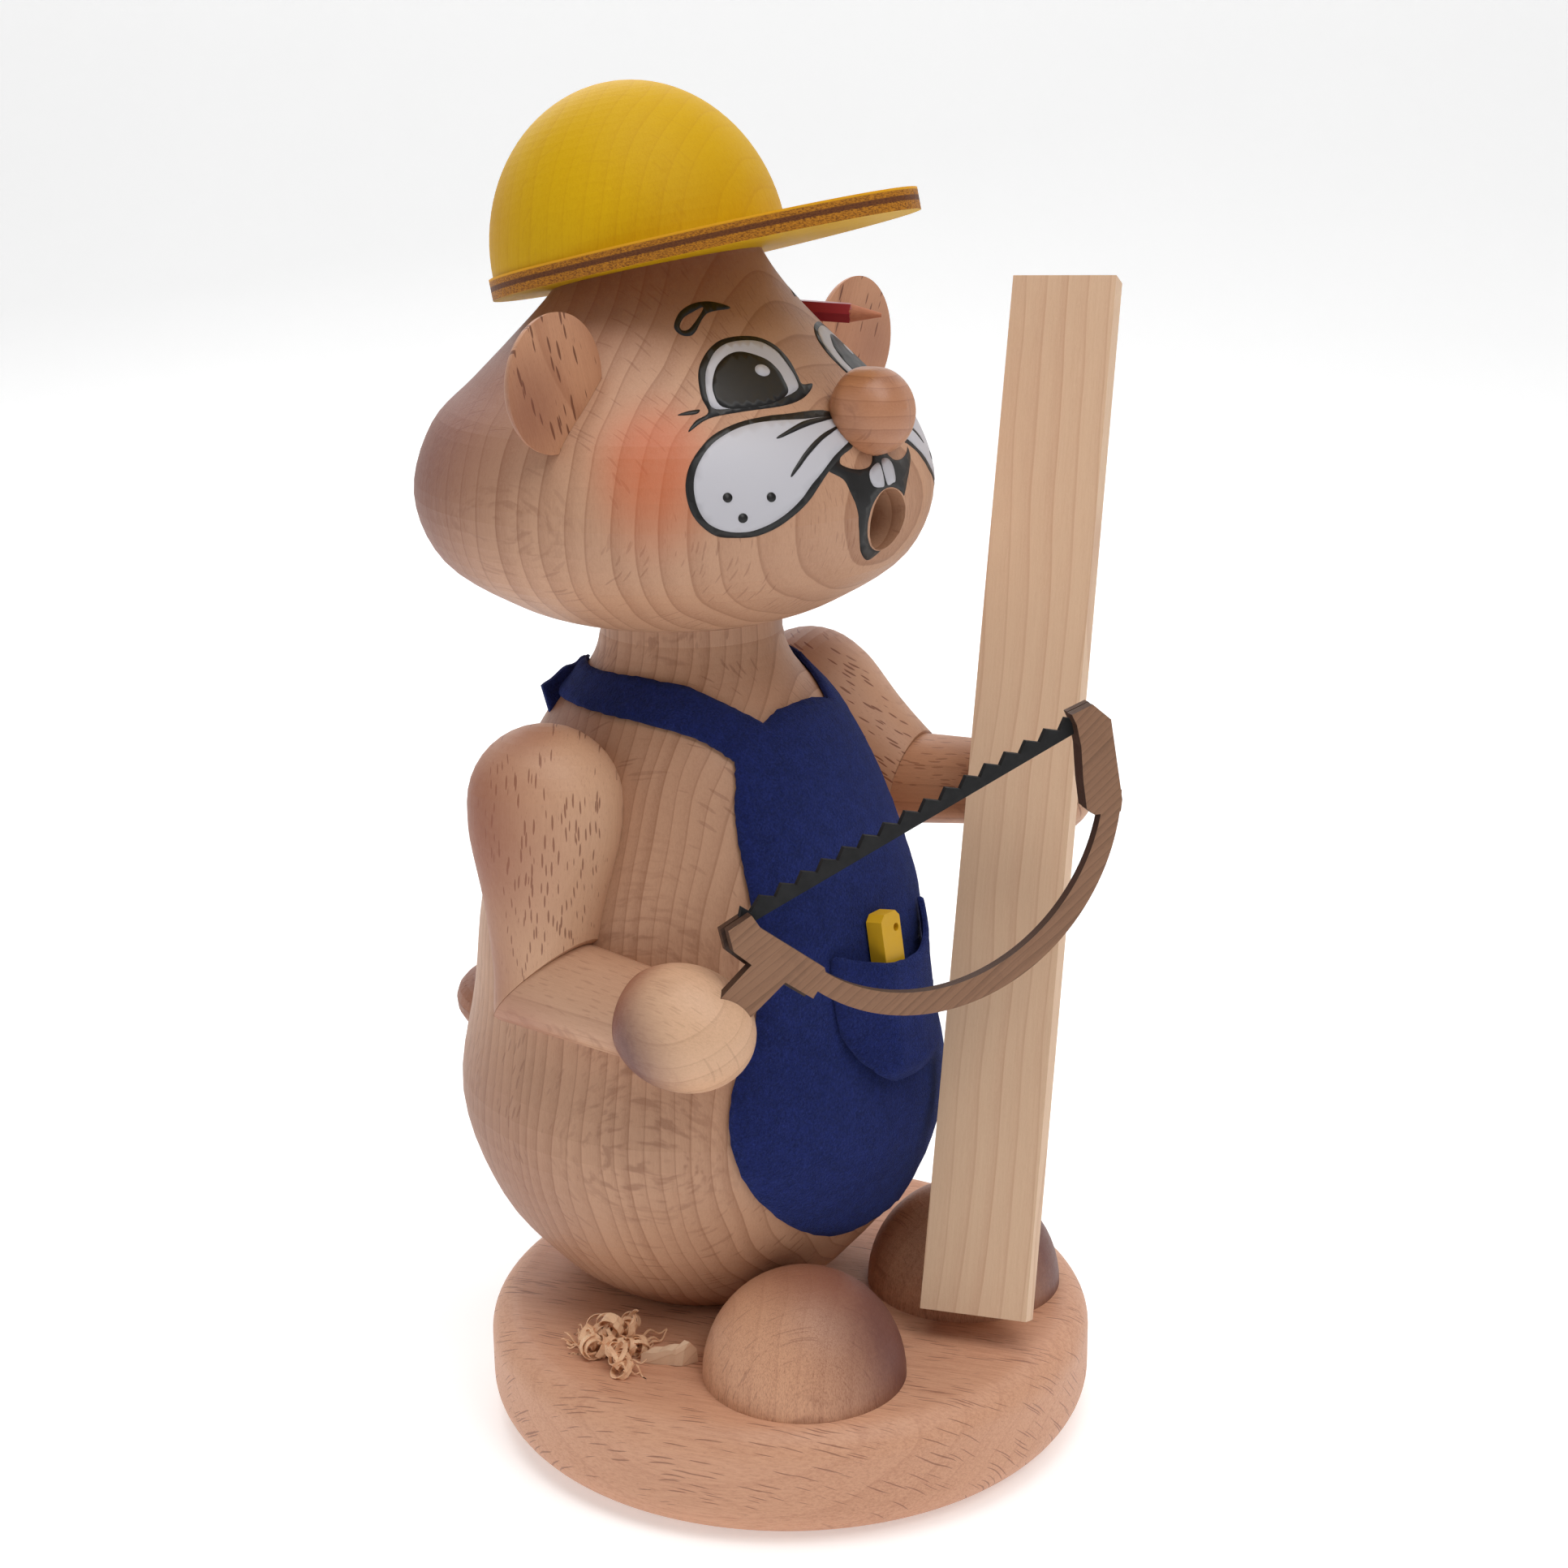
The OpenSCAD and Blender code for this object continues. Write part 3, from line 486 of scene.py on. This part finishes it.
def pencil():
    """Crimson lacquer that ends in scallops where the sharpened wooden cone begins."""
    s = Shader("pencil_red")
    p = s.mm()
    low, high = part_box("pencil_casing")
    tip = Vector((high[0], low[1], 0)) / MM
    along = s.dot(s.vmath("SUBTRACT", p, tuple(tip)), (0.461, -0.888, 0))
    wave = s.mul(s.noise(s.vmath("MULTIPLY", p, (1.2, 1.2, 1.2)), 1.0, 1.0), 1.6)
    bare = s.step(s.add(along, wave), -5.2, -4.9)
    grain = s.noise(s.vmath("MULTIPLY", p, (1.5, 0.5, 3.0)), 1.0, 2.0)
    col = s.mix(bare, srgb(140, 26, 46), s.mix(grain, srgb(190, 124, 88), srgb(160, 92, 66)))
    return s.finish(col, s.step(bare, 0.0, 1.0, 0.3, 0.7), s.bump(grain, 0.00004, 0.4),
                    Specular_IOR_Level=0.5)


dress("pencil_casing", pencil())
dress("pencil_lead", paint("pencil_lead", srgb(112, 36, 46), 0.5, 0.1))

# dish, and the plain solids that the felt and the shavings below stand in for
steel = paint("steel", (0.5, 0.5, 0.52), 0.3, 0.05)
steel.node_tree.nodes["Principled BSDF"].inputs["Metallic"].default_value = 1.0
dress("incense_dish", steel)
FELT = felt()
for node in ("apron", "neck_strap", "pocket"):
    dress(node, FELT)
for node in ("wood_shavings", "wood_chip"):
    dress(node, paint("shaving_plain", srgb(214, 170, 122), 0.7))

# ------------------------------------------------------------ pieces laid on the turned wood

RAY_REACH = 0.15  # metres from an axis, outside every piece
HEAD_MM_PER_DEG = 0.75  # about how far a degree of azimuth reaches on the face
BODY_MM_PER_DEG = 0.6  # and on the apron


def tree(node):
    """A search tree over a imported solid."""
    mesh = CAD[node].data
    return BVHTree.FromPolygons([v.co for v in mesh.vertices], [tuple(f.vertices) for f in mesh.polygons])


HEAD_TREE, BODY_TREE = tree("head"), tree("body")


def touch(found, az, z, lift, axis_y):
    """The point at azimuth az and height z on a turned piece, lifted off it, in metres."""
    way = heading(az)
    start = Vector((0, axis_y, z)) * MM + way * RAY_REACH
    hit, normal, _, _ = found.ray_cast(start, -way)
    if normal.dot(way) < 0:
        normal = -normal
    return hit + normal * lift * MM


def on_head(az, z, lift):
    return touch(HEAD_TREE, az, z, lift, HEAD_Y)


def on_body(az, z, lift):
    return touch(BODY_TREE, az, z, lift, AXIS_Y)


def curve(a, b, c, d, n):
    """n points from b to c on a Catmull-Rom curve, the last one left out."""
    for k in range(n):
        t = k / n
        yield 0.5 * (2 * b + (c - a) * t + (2 * a - 5 * b + 4 * c - d) * t * t
                     + (3 * b - a - 3 * c + d) * t ** 3)


def smooth_loop(points, n=5):
    """A closed curve through points."""
    p = [Vector(q) for q in points]
    out = []
    for i in range(len(p)):
        out += curve(p[i - 1], p[i], p[(i + 1) % len(p)], p[(i + 2) % len(p)], n)
    return out


def inside(q, loop):
    """Whether the point q lies inside a closed loop."""
    hit = False
    for a, b in zip(loop, loop[1:] + loop[:1]):
        crosses = (a[1] > q[1]) != (b[1] > q[1])
        if crosses and q[0] < (b[0] - a[0]) * (q[1] - a[1]) / (b[1] - a[1]) + a[0]:
            hit = not hit
    return hit


def fill(outline, holes, grid, mm_per_deg):
    """The points and triangles that fill an outline of (azimuth, height), about grid mm apart."""
    flat = [[Vector((q[0] * mm_per_deg, q[1])) for q in ring] for ring in (outline, *holes)]
    outer, gaps = flat[0], flat[1:]
    margin = 0.35 * grid  # no inner point stands closer to an edge
    points, edges = [], []
    for ring in flat:
        first = len(points)
        points += ring
        edges += [(first + i, first + (i + 1) % len(ring)) for i in range(len(ring))]
    xs, ys = [q[0] for q in outer], [q[1] for q in outer]
    shore = np.array([tuple(q) for q in points])
    for i, x in enumerate(np.arange(min(xs) + grid / 2, max(xs), grid)):
        for y in np.arange(min(ys) + grid / 2 * (1 + i % 2), max(ys), grid):
            q = (x, y)
            if inside(q, outer) and not any(inside(q, h) for h in gaps):
                if np.min(np.hypot(shore[:, 0] - x, shore[:, 1] - y)) > margin:
                    points.append(Vector(q))
    verts, _, faces, *_ = delaunay_2d_cdt(points, edges, [], 0, 1e-5)
    kept = []
    for f in faces:
        mid = sum((verts[i] for i in f), Vector((0, 0))) / len(f)
        if inside(mid, outer) and not any(inside(mid, h) for h in gaps):
            kept.append(tuple(f))
    return [(v[0] / mm_per_deg, v[1]) for v in verts], kept


def slab(name, top, bottom, faces, mat, body="figure"):
    """A thin closed piece between two skins with the same triangles."""
    n = len(top)
    used = {(a, b) for f in faces for a, b in zip(f, f[1:] + f[:1])}
    under = [tuple(i + n for i in reversed(f)) for f in faces]
    rim = [(b, a, a + n, b + n) for f in faces for a, b in zip(f, f[1:] + f[:1]) if (b, a) not in used]
    mesh = bpy.data.meshes.new(name)
    mesh.from_pydata(list(top) + list(bottom), [], list(faces) + under + rim)
    mesh.validate()
    bm = bmesh.new()
    bm.from_mesh(mesh)
    bmesh.ops.delete(bm, geom=[v for v in bm.verts if not v.link_faces], context="VERTS")
    bmesh.ops.recalc_face_normals(bm, faces=bm.faces)
    bm.to_mesh(mesh)
    bm.free()
    mesh.materials.append(mat)
    o = placed(name, mesh)
    for poly in mesh.polygons:
        poly.use_smooth = len(poly.vertices) == 3  # the cut rim stays sharp
    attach(o, body)
    return o


def printed(name, outline, mat, lift, holes=(), smooth=True):
    """One layer of the painted face, laid on the head and sunk a little into it."""
    ring, *gaps = [smooth_loop(h) if smooth else [Vector(q) for q in h] for h in (outline, *holes)]
    points, faces = fill(ring, gaps, 1.2, HEAD_MM_PER_DEG)
    places = [(az + FACE_TURN, z - FACE_DROP) for az, z in points]
    top, bottom = ([on_head(*q, level) for q in places] for level in (lift, -0.2))
    return slab(name, top, bottom, faces, mat)


def disc(az, z, wide, high, n=20):
    """An oval outline: wide is its half width in degrees, and high its half height."""
    turns = [2 * math.pi * k / n for k in range(n)]
    return [(az + wide * math.cos(a), z + high * math.sin(a)) for a in turns]


def stroke(line, width):
    """A brush stroke with pointed ends along a line of (azimuth, height)."""
    p = [Vector(q) for q in line]
    left, right = [], []
    for i in range(len(p)):
        way = p[min(i + 1, len(p) - 1)] - p[max(i - 1, 0)]
        side = Vector((-way[1] / HEAD_MM_PER_DEG, way[0] * HEAD_MM_PER_DEG)).normalized()
        half = width / 2 * math.sin(math.pi * (i + 0.35) / (len(p) - 0.3)) ** 0.7
        left.append(p[i] + Vector((side[0] / HEAD_MM_PER_DEG, side[1])) * half)
        right.append(p[i] - Vector((side[0] / HEAD_MM_PER_DEG, side[1])) * half)
    return left + right[::-1]


INK = paint("face_ink", srgb(20, 18, 18), 0.45, 0.1)
WHITE = paint("face_white", srgb(192, 190, 196), 0.5, 0.04)

# The face's outlines, as (azimuth, height). Those of the right half are mirrored about FACE_MID,
# and the whole face is then turned by FACE_TURN and lowered by FACE_DROP.
FACE_MID = -0.8
FACE_TURN, FACE_DROP = 1.1, 0.9
LEFT_BROW_OUT = 6  # degrees: the left brow stands further out than a mirrored one
EYE = [(-43.5, 188.6), (-44.7, 190.8), (-44.7, 193.7), (-43.1, 195.7), (-39.2, 197.6), (-33.7, 198.8),
       (-25.5, 199.1), (-18.3, 198.6), (-13.3, 197.2), (-11.4, 195), (-12, 192.7), (-12.3, 191.4),
       (-8.5, 191.2), (-13.6, 189.7), (-21.3, 188.8), (-34.8, 188.4), (-43.8, 187.7), (-49, 186),
       (-47, 187.5)]
EYE_WHITE = [(-41.5, 189), (-43, 190.7), (-42.7, 193.2), (-41.2, 195.1), (-37.5, 197.1), (-32.1, 198.2),
             (-24.8, 198.4), (-18.6, 197.9), (-14.6, 196.4), (-13.4, 194.3), (-13.5, 192.2),
             (-15.4, 190.7), (-24, 189.6), (-34, 189.1)]
PUPIL = [(-39.5, 189.2), (-41.1, 191.2), (-40.5, 193.1), (-38, 195.1), (-33.4, 196.5), (-27.9, 196.8),
         (-20.9, 195.6), (-18.2, 194), (-17.9, 192.4), (-19, 190.4), (-25, 189.3), (-33, 188.9)]
LASH = [(-51.4, 188.3), (-49, 188.8), (-45.7, 189), (-46.8, 188.4)]
BROW = [(-51.4, 201.1), (-48.5, 203.1), (-41.7, 204.3), (-33.1, 204.4), (-25.2, 203.3), (-36.9, 202.7),
        (-43.5, 200), (-46.4, 199.5), (-49.7, 199.9)]
BROW_GAP = [(-49.1, 201.1), (-47.2, 202.2), (-43.1, 203), (-37.9, 203.6), (-43.3, 201.3), (-46.2, 200.4),
            (-48.5, 200.4)]
CHEEK = [(-9.3, 187.1), (-23.8, 187.6), (-31.7, 187.4), (-37.6, 186.8), (-43.2, 185.5), (-46.8, 183.6),
         (-49.3, 181.2), (-50.3, 178.6), (-50.1, 176), (-49, 173.6), (-46.9, 171.6), (-44.2, 170.2),
         (-40.7, 169.8), (-36.3, 169.8), (-31.8, 170.9), (-27.8, 172.6), (-24.2, 174.5), (-21, 176.7),
         (-17.9, 178.6), (-13, 180.7), (-8, 182.4)]
CHEEK_WHITE = [(-10.2, 186.4), (-18.8, 186.6), (-26.5, 186.8), (-32.2, 186.7), (-37.5, 186.1),
               (-42.1, 184.9), (-45.2, 183.4), (-47.6, 181.1), (-48.6, 178.6), (-48.4, 175.9),
               (-47.2, 173.5), (-45.2, 171.9), (-42, 170.9), (-37.7, 170.7), (-33.3, 171.6),
               (-29.2, 173.2), (-25.7, 175.1), (-22.7, 177.1), (-20, 178.5), (-15.8, 180.6), (-12, 181.9),
               (-8.5, 183.1), (-8.7, 185.3)]
WHISKERS = [[(-10.4, 186.3), (-17.2, 186.1), (-21.8, 185.6), (-27.8, 184.5)],
            [(-10.5, 184.9), (-16.6, 183.8), (-21.7, 182), (-25.6, 179.8), (-27.2, 178.7)]]
DOTS = [(-41.8, 176.2), (-32.5, 175.8), (-38.9, 172.9)]
EYE_SHINE = {"right": (-23.7, 193.9), "left": (2 * FACE_MID + 35.4, 193.9)}
MOUTH = [(-17.9, 178.9), (-14.4, 177.2), (-13.2, 175.2), (-11.7, 172), (-11, 168.5), (-9.1, 164.7),
         (-5.5, 162.6), (-2.4, 163.3), (-0.1, 165.1), (1.7, 168.7), (3.7, 171.3), (7.5, 174.9),
         (11.8, 177.8), (12.5, 179.4), (11.3, 181.2), (6, 183.2), (0, 184.2), (-6, 184), (-12, 182.4),
         (-17.4, 180.2)]
LIP = [(-14, 180.1), (-9.3, 182.6), (-6, 181.8), (-3.5, 180.2), (-5.3, 178.5), (-8.8, 178.2), (-12.6, 178.9)]
TEETH = [[(-6.6, 175.8), (-5.6, 177.0), (-2.2, 177.6), (-2.3, 174.3), (-3.8, 173.9), (-6.0, 174.4)],
         [(-1.2, 177.8), (1.4, 178.0), (2.6, 176.6), (2.0, 174.4), (0.8, 174.1), (-1.3, 174.2)]]


def mirrored(points):
    """The left half's outline for one of the right half."""
    return [(2 * FACE_MID - az, z) for az, z in points]


def face():
    """The painted face, in thin layers: each later one stands a little further off the head."""
    for side, flip in (("right", lambda q: q), ("left", mirrored)):
        printed(f"eye_line_{side}", flip(EYE), INK, 0.05)
        printed(f"eye_white_{side}", flip(EYE_WHITE), WHITE, 0.09)
        printed(f"pupil_{side}", flip(PUPIL), INK, 0.13)
        printed(f"eye_shine_{side}", disc(*EYE_SHINE[side], 2.5, 0.85), WHITE, 0.17, smooth=False)
        printed(f"lash_{side}", flip(LASH), INK, 0.05)
        out = 0 if side == "right" else LEFT_BROW_OUT
        brow, gap = ([(az + out, z) for az, z in flip(q)] for q in (BROW, BROW_GAP))
        printed(f"brow_{side}", brow, INK, 0.05, [gap])
        printed(f"cheek_line_{side}", flip(CHEEK), INK, 0.06)
        printed(f"cheek_white_{side}", flip(CHEEK_WHITE), WHITE, 0.12)
        for i, line in enumerate(WHISKERS):
            printed(f"whisker_{side}_{i}", flip(stroke(line, 0.75)), INK, 0.17)
        for i, spot in enumerate(DOTS):
            printed(f"whisker_dot_{side}_{i}", disc(*flip([spot])[0], 1.0, 0.75), INK, 0.17, smooth=False)
        tooth = TEETH[side == "left"]
        printed(f"tooth_{side}", [(az, z + FACE_DROP) for az, z in tooth], WHITE, 0.11)
    # the mouth is painted round the bore, which stays open
    bore = disc(-FACE_TURN, 168.2 + FACE_DROP, 7.4, 5.35, 40)
    printed("mouth_line", MOUTH, INK, 0.05, [LIP, mirrored(LIP), bore])


face()

# ------------------------------------------------------------ felt

# Half of the apron's outline: out along the strap's top, back under it, and down the side to the hem
APRON = [(-11, 133.4), (-23.0, 131.9), (-34.7, 134.7), (-53.3, 137.8), (-76.2, 139.1), (-95, 139.2),
         (-114.1, 138.9), (-135, 138.6), (-155, 138.4), (-155, 132.6), (-135, 132.9), (-107.8, 133.3),
         (-90, 133.1), (-74.4, 132.8), (-53.3, 131), (-44.5, 129.2), (-37.6, 126.9), (-38.6, 123),
         (-39.6, 119.4), (-39.3, 113), (-37.8, 105.1), (-37.4, 94), (-38.5, 84.5), (-41.6, 79),
         (-44.5, 73.7), (-45.7, 65.4), (-42.6, 56.9), (-34.8, 49.0), (-23.3, 42.8), (-11, 40.2)]
SHARP = {(-23.0, 131.9), (-155, 138.4), (-155, 132.6), (-37.6, 126.9)}
FELT_T = 1.2  # its thickness
FELT_OFF = 0.12  # it stands this far off what it is glued to


def cut_line(half, n=6):
    """Both halves of a cut outline, rounded except at the corners in SHARP."""
    ring = half + [(-az, z) for az, z in reversed(half)]
    sharp = SHARP | {(-az, z) for az, z in SHARP}
    out = []
    for i, b in enumerate(ring):
        a, c, d = ring[i - 1], ring[(i + 1) % len(ring)], ring[(i + 2) % len(ring)]
        pa, pb, pc, pd = (Vector(q) for q in (a, b, c, d))
        if b in sharp:
            pa = pb
        if c in sharp:
            pd = pc
        out += curve(pa, pb, pc, pd, n)
    return out


def waver(az, z, across, up, seed):
    """A smooth uneven value at a place on a sheet."""
    return noise.noise(Vector((az * across, z * up, seed)))


def felt_piece(name, outline, place, grid):
    """A felt sheet with a wavering cut edge and softly uneven faces.

    place(az, z, lift) gives its points."""
    ragged = [q + Vector((waver(*q, 0.9, 1.1, 4) * 0.28 / BODY_MM_PER_DEG, waver(*q, 0.9, 1.1, 9) * 0.22))
              for q in outline]
    points, faces = fill(ragged, (), grid, BODY_MM_PER_DEG)
    top, bottom = [], []
    for i, (az, z) in enumerate(points):
        rough = waver(az, z, 0.35, 0.5, 1) * 0.10 + waver(az, z, 1.1, 1.4, 2) * 0.06
        thick = FELT_T * (0.62 if i < len(ragged) else 1.0)  # thinner at its cut edge
        top.append(place(az, z, FELT_OFF + thick + rough))
        bottom.append(place(az, z, FELT_OFF + (FELT_T - thick) * 0.4))
    return slab(name, top, bottom, faces, FELT)


apron = felt_piece("apron_felt", cut_line(APRON), on_body, grid=1.6)
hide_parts("apron", "neck_strap")

# The pocket's outline: along its foot, up its right side, across its mouth and down its left side
POCKET = [(11.5, 68.2), (4.5, 68.0), (-3, 68.7), (-9.2, 70.9), (-13.9, 74.6), (-17.0, 79.2), (-18.4, 84),
          (-18.6, 88.5), (-18.2, 93.4), (-12, 92.3), (-6, 91.2), (0, 90.5), (8, 90.3), (15, 91.6),
          (20.5, 93.8), (24.2, 96.0), (25.5, 90), (25.4, 84), (23.8, 78), (20.5, 73.2), (16.5, 70.6)]
RULE_LOW, RULE_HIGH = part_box("folding_rule")
RULE_AZ = [math.degrees(math.atan2(x, AXIS_Y * MM - RULE_LOW[1])) for x in (RULE_LOW[0], RULE_HIGH[0])]
RULE_TREE = tree("folding_rule")
POCKET_SIDES = (-17.5, 24.5)  # azimuths where it is glued down
POCKET_FOOT, POCKET_MOUTH = 68.2, 93
POCKET_HEIGHTS = range(66, 100)
ON_APRON = 1.4  # the pocket's places are measured from this far off the body


def rule_stands_off(z):
    """How far the rule's outer face stands off the body at height z, in millimetres."""
    az = sum(RULE_AZ) / 2
    way = heading(az)
    start = Vector((0, AXIS_Y, max(z, RULE_LOW[2] / MM + 0.5))) * MM + way * RAY_REACH
    hit = RULE_TREE.ray_cast(start, -way)[0]
    return (hit - on_body(az, start.z / MM, 0.0)).length / MM + 0.35 if hit else 0.0


STAND_OFF = {z: rule_stands_off(z) for z in POCKET_HEIGHTS}


def over_rule(az, z, lift):
    """A point of the pocket.

    It lies flat on the apron at its glued edges, stands up over the rule and is slack at its mouth."""
    right, left = POCKET_SIDES
    low, high = RULE_AZ[0] - 0.6, RULE_AZ[1] + 0.6
    off = (low - az) / (low - right) if az < low else (az - high) / (left - high) if az > high else 0.0
    off = max(0.0, min(1.0, off))  # from 0 over the rule to 1 at the glued side
    tent = (1 - off) ** 1.25
    near_foot = max(0.0, min(1.0, (z - POCKET_FOOT) / 3.2))  # from 0 at the glued foot to 1
    rise = STAND_OFF[int(min(POCKET_HEIGHTS[-1], max(POCKET_HEIGHTS[0], z)))] - 1.45
    slack = 0.9 * max(0.0, 1 - abs(z - POCKET_MOUTH) / 9) * math.sin(math.pi * off) if az > high else 0.0
    return on_body(az, z, ON_APRON + lift + max(0.0, rise) * tent * near_foot + slack)


pocket = felt_piece("pocket_felt", smooth_loop(POCKET, 4), over_rule, grid=1.2)
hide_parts("pocket")

# The middle line of the strap's free end: azimuth, distance from the axis and height
STRAP_END = [(154, 18.6, 135.6), (148, 19.6, 135.4), (143, 21.6, 134.6), (139.5, 24.0, 133.4),
             (137, 26.2, 131.6)]
STRAP_HALF = 2.9  # half the strap's width


def tie_tail(name, side, along=16, across=4):
    """The strap's cut end, standing off behind the neck, as a grid of along by across cells."""
    rows = []
    for k in range(along + 1):
        t = k / along * (len(STRAP_END) - 1)
        i = min(int(t), len(STRAP_END) - 2)
        az, r, z = (a + (b - a) * (t - i) for a, b in zip(STRAP_END[i], STRAP_END[i + 1]))
        mid = heading(side * az) * r + Vector((0, AXIS_Y, z + 0.25 * math.sin(k * 0.9)))
        wide = Vector(UP) + heading(side * az) * 0.25
        low, high = mid - wide * STRAP_HALF, mid + wide * STRAP_HALF
        rows.append([low + (high - low) * j / across for j in range(across + 1)])
    middle = [row[across // 2] for row in rows]
    skin_a, skin_b, faces = [], [], []
    for k, row in enumerate(rows):
        way = (middle[min(k + 1, along)] - middle[max(k - 1, 0)]).normalized()
        out = way.cross(Vector(UP)).normalized()
        for j, q in enumerate(row):
            half = FELT_T / 2 * (0.7 if j in (0, across) or k == along else 1.0)
            skin_a.append((q + out * half) * MM)
            skin_b.append((q - out * half) * MM)
            if k and j:
                a = (k - 1) * (across + 1) + j - 1
                b = a + across + 1
                faces += [(a, a + 1, b + 1), (a, b + 1, b)]
    o = slab(name, skin_a, skin_b, faces, FELT)
    return o


tails = [tie_tail("tie_tail_right", -1), tie_tail("tie_tail_left", 1)]

# ------------------------------------------------------------ shavings

FLOOR_Z = 21.0  # the base's top face
SHAVING = wood("shaving_curl", (0.2, 1, 0.3), UP, light=srgb(252, 212, 172), dark=srgb(222, 166, 126),
               fleck=srgb(170, 112, 76), spacing=1.4, bands=0.6, flecks=0.15, rays=0)
SHAVING_HALF = 0.09  # half a curl's thickness


def ribbon(verts, faces, line, widths, side):
    """One thin wood curl: a closed strip along a line, with its width turned towards side."""
    first = len(verts)
    n = len(line)
    for k, (q, wide) in enumerate(zip(line, widths)):
        way = (line[min(k + 1, n - 1)] - line[max(k - 1, 0)]).normalized()
        across = (side - way * side.dot(way)).normalized()
        out = way.cross(across) * SHAVING_HALF
        half = across * wide / 2
        for corner in (half + out, half - out, -half - out, -half + out):
            c = q + corner
            c.z = max(c.z, FLOOR_Z + 0.02)
            verts.append(c * MM)
    for k in range(n - 1):
        a = first + 4 * k
        faces += [(a + j, a + (j + 1) % 4, a + 4 + (j + 1) % 4, a + 4 + j) for j in range(4)]
    faces += [(first, first + 3, first + 2, first + 1), tuple(first + 4 * (n - 1) + j for j in range(4))]


def shavings():
    """A small heap of planed curls and loose strands, glued to the base."""
    rng = np.random.default_rng(7)
    verts, faces = [], []
    heap = [(-41.2, 7.6), (-38.6, 11.8), (-41.8, 12.4), (-37.0, 7.2), (-34.6, 11.0), (-43.4, 4.6),
            (-39.6, 15.6), (-36.0, 14.6)]
    curls, n = 44, 22
    for k in range(curls):
        cx, cy = heap[k % len(heap)] + rng.normal(0, 0.9, 2)
        turns, radius = rng.uniform(0.6, 1.6), rng.uniform(1.0, 2.7)
        axis = Vector((rng.normal(0, 0.8), rng.normal(0, 0.8), rng.uniform(0.1, 0.9))).normalized()
        side = axis.orthogonal().normalized()
        other = axis.cross(side)
        lift = FLOOR_Z + 0.4 + radius * rng.uniform(0.3, 1.5)
        pitch, start = rng.uniform(-1.2, 1.2), rng.uniform(0, 6.3)
        line = []
        for i in range(n):
            a = start + turns * 2 * math.pi * i / (n - 1)
            r = radius * (1 - 0.35 * i / (n - 1))
            line.append(Vector((cx, cy, lift)) + side * math.cos(a) * r + other * math.sin(a) * r
                        + axis * pitch * i / (n - 1) * 1.5)
        wide = rng.uniform(0.5, 2.0)
        widths = [wide * (0.3 + 0.7 * math.sin(math.pi * (i + 1) / (n + 1)) ** 0.5) for i in range(n)]
        ribbon(verts, faces, line, widths, axis)
    # loose strands, mostly lying outwards: from, to, and width
    strands = [((-41, 14), (-41.2, 20.0), 1.1), ((-42, 13), (-43.6, 17.4), 0.7),
               ((-39, 16), (-37.6, 20.4), 0.6), ((-37, 12), (-30.6, 12.6), 1.0),
               ((-36, 9), (-29.2, 6.4), 0.9), ((-43, 6), (-45.6, 2.2), 1.2),
               ((-42, 5), (-42.4, 0.4), 0.8), ((-38, 8), (-34.6, 4.0), 0.8),
               ((-36, 14), (-32.0, 17.4), 0.6)]
    n = 14
    for (x0, y0), (x1, y1), wide in strands:
        for _ in range(3):
            a = Vector((x0, y0, FLOOR_Z + rng.uniform(0.6, 2.4))) + Vector(rng.normal(0, 0.5, 3))
            b = Vector((x1, y1, FLOOR_Z + rng.uniform(0.1, 1.6))) + Vector(rng.normal(0, 0.6, 3))
            bow = Vector(rng.normal(0, 0.7, 3))
            line = [a.lerp(b, i / (n - 1)) + bow * math.sin(math.pi * i / (n - 1))
                    + Vector((0, 0, 0.5 * math.sin(i * 0.9 + wide * 9))) for i in range(n)]
            widths = [wide * rng.uniform(0.5, 1.0) * (1 - 0.75 * i / (n - 1)) for i in range(n)]
            ribbon(verts, faces, line, widths, Vector((0.3, -0.2, 1)).cross(b - a).normalized())
    mesh = bpy.data.meshes.new("shaving_heap")
    mesh.from_pydata(verts, [], faces)
    mesh.materials.append(SHAVING)
    o = placed("shaving_heap", mesh)
    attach(o, "base")
    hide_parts("wood_shavings")


def chip():
    """A pale splinter of board with broken ends, beside the shavings."""
    rng = np.random.default_rng(3)
    bm = bmesh.new()
    across, along = Vector((-0.62, 0.3, 0)).normalized(), Vector((0.35, -0.93, 0)).normalized()
    foot, up = Vector((-36.6, 2.2, FLOOR_Z + 0.05)), Vector(UP)
    rows = []
    for k in range(9):
        t = k / 8
        mid = foot + along * (t * 7.4 - 1.5)
        half = 2.3 * (1 - 0.2 * t) + rng.uniform(-0.3, 0.3)
        high = 2.2 + 2.4 * t + rng.uniform(-0.3, 0.3)
        ring = [mid - across * half, mid + across * half, mid + across * half * 0.75 + up * high * 0.7,
                mid + across * 0.1 + up * high, mid - across * half * 0.8 + up * high * 0.62]
        rows.append([bm.verts.new((q + Vector(rng.normal(0, 0.06, 3))) * MM) for q in ring])
    for a, b in zip(rows, rows[1:]):
        for j in range(5):
            bm.faces.new((a[j], a[(j + 1) % 5], b[(j + 1) % 5], b[j]))
    bm.faces.new(rows[0][::-1])
    bm.faces.new(rows[-1])
    bmesh.ops.recalc_face_normals(bm, faces=bm.faces)
    for v in bm.verts:
        v.co.z = max(v.co.z, (FLOOR_Z + 0.02) * MM)
    mesh = bpy.data.meshes.new("splinter")
    bm.to_mesh(mesh)
    bm.free()
    mesh.materials.append(wood("splinter_wood", (0.35, -0.93, 0.3), UP, light=srgb(232, 198, 166),
                               dark=srgb(204, 158, 124), spacing=1.5, flecks=0.1, rays=0))
    o = placed("splinter", mesh)
    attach(o, "base")
    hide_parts("wood_chip")


shavings()
chip()
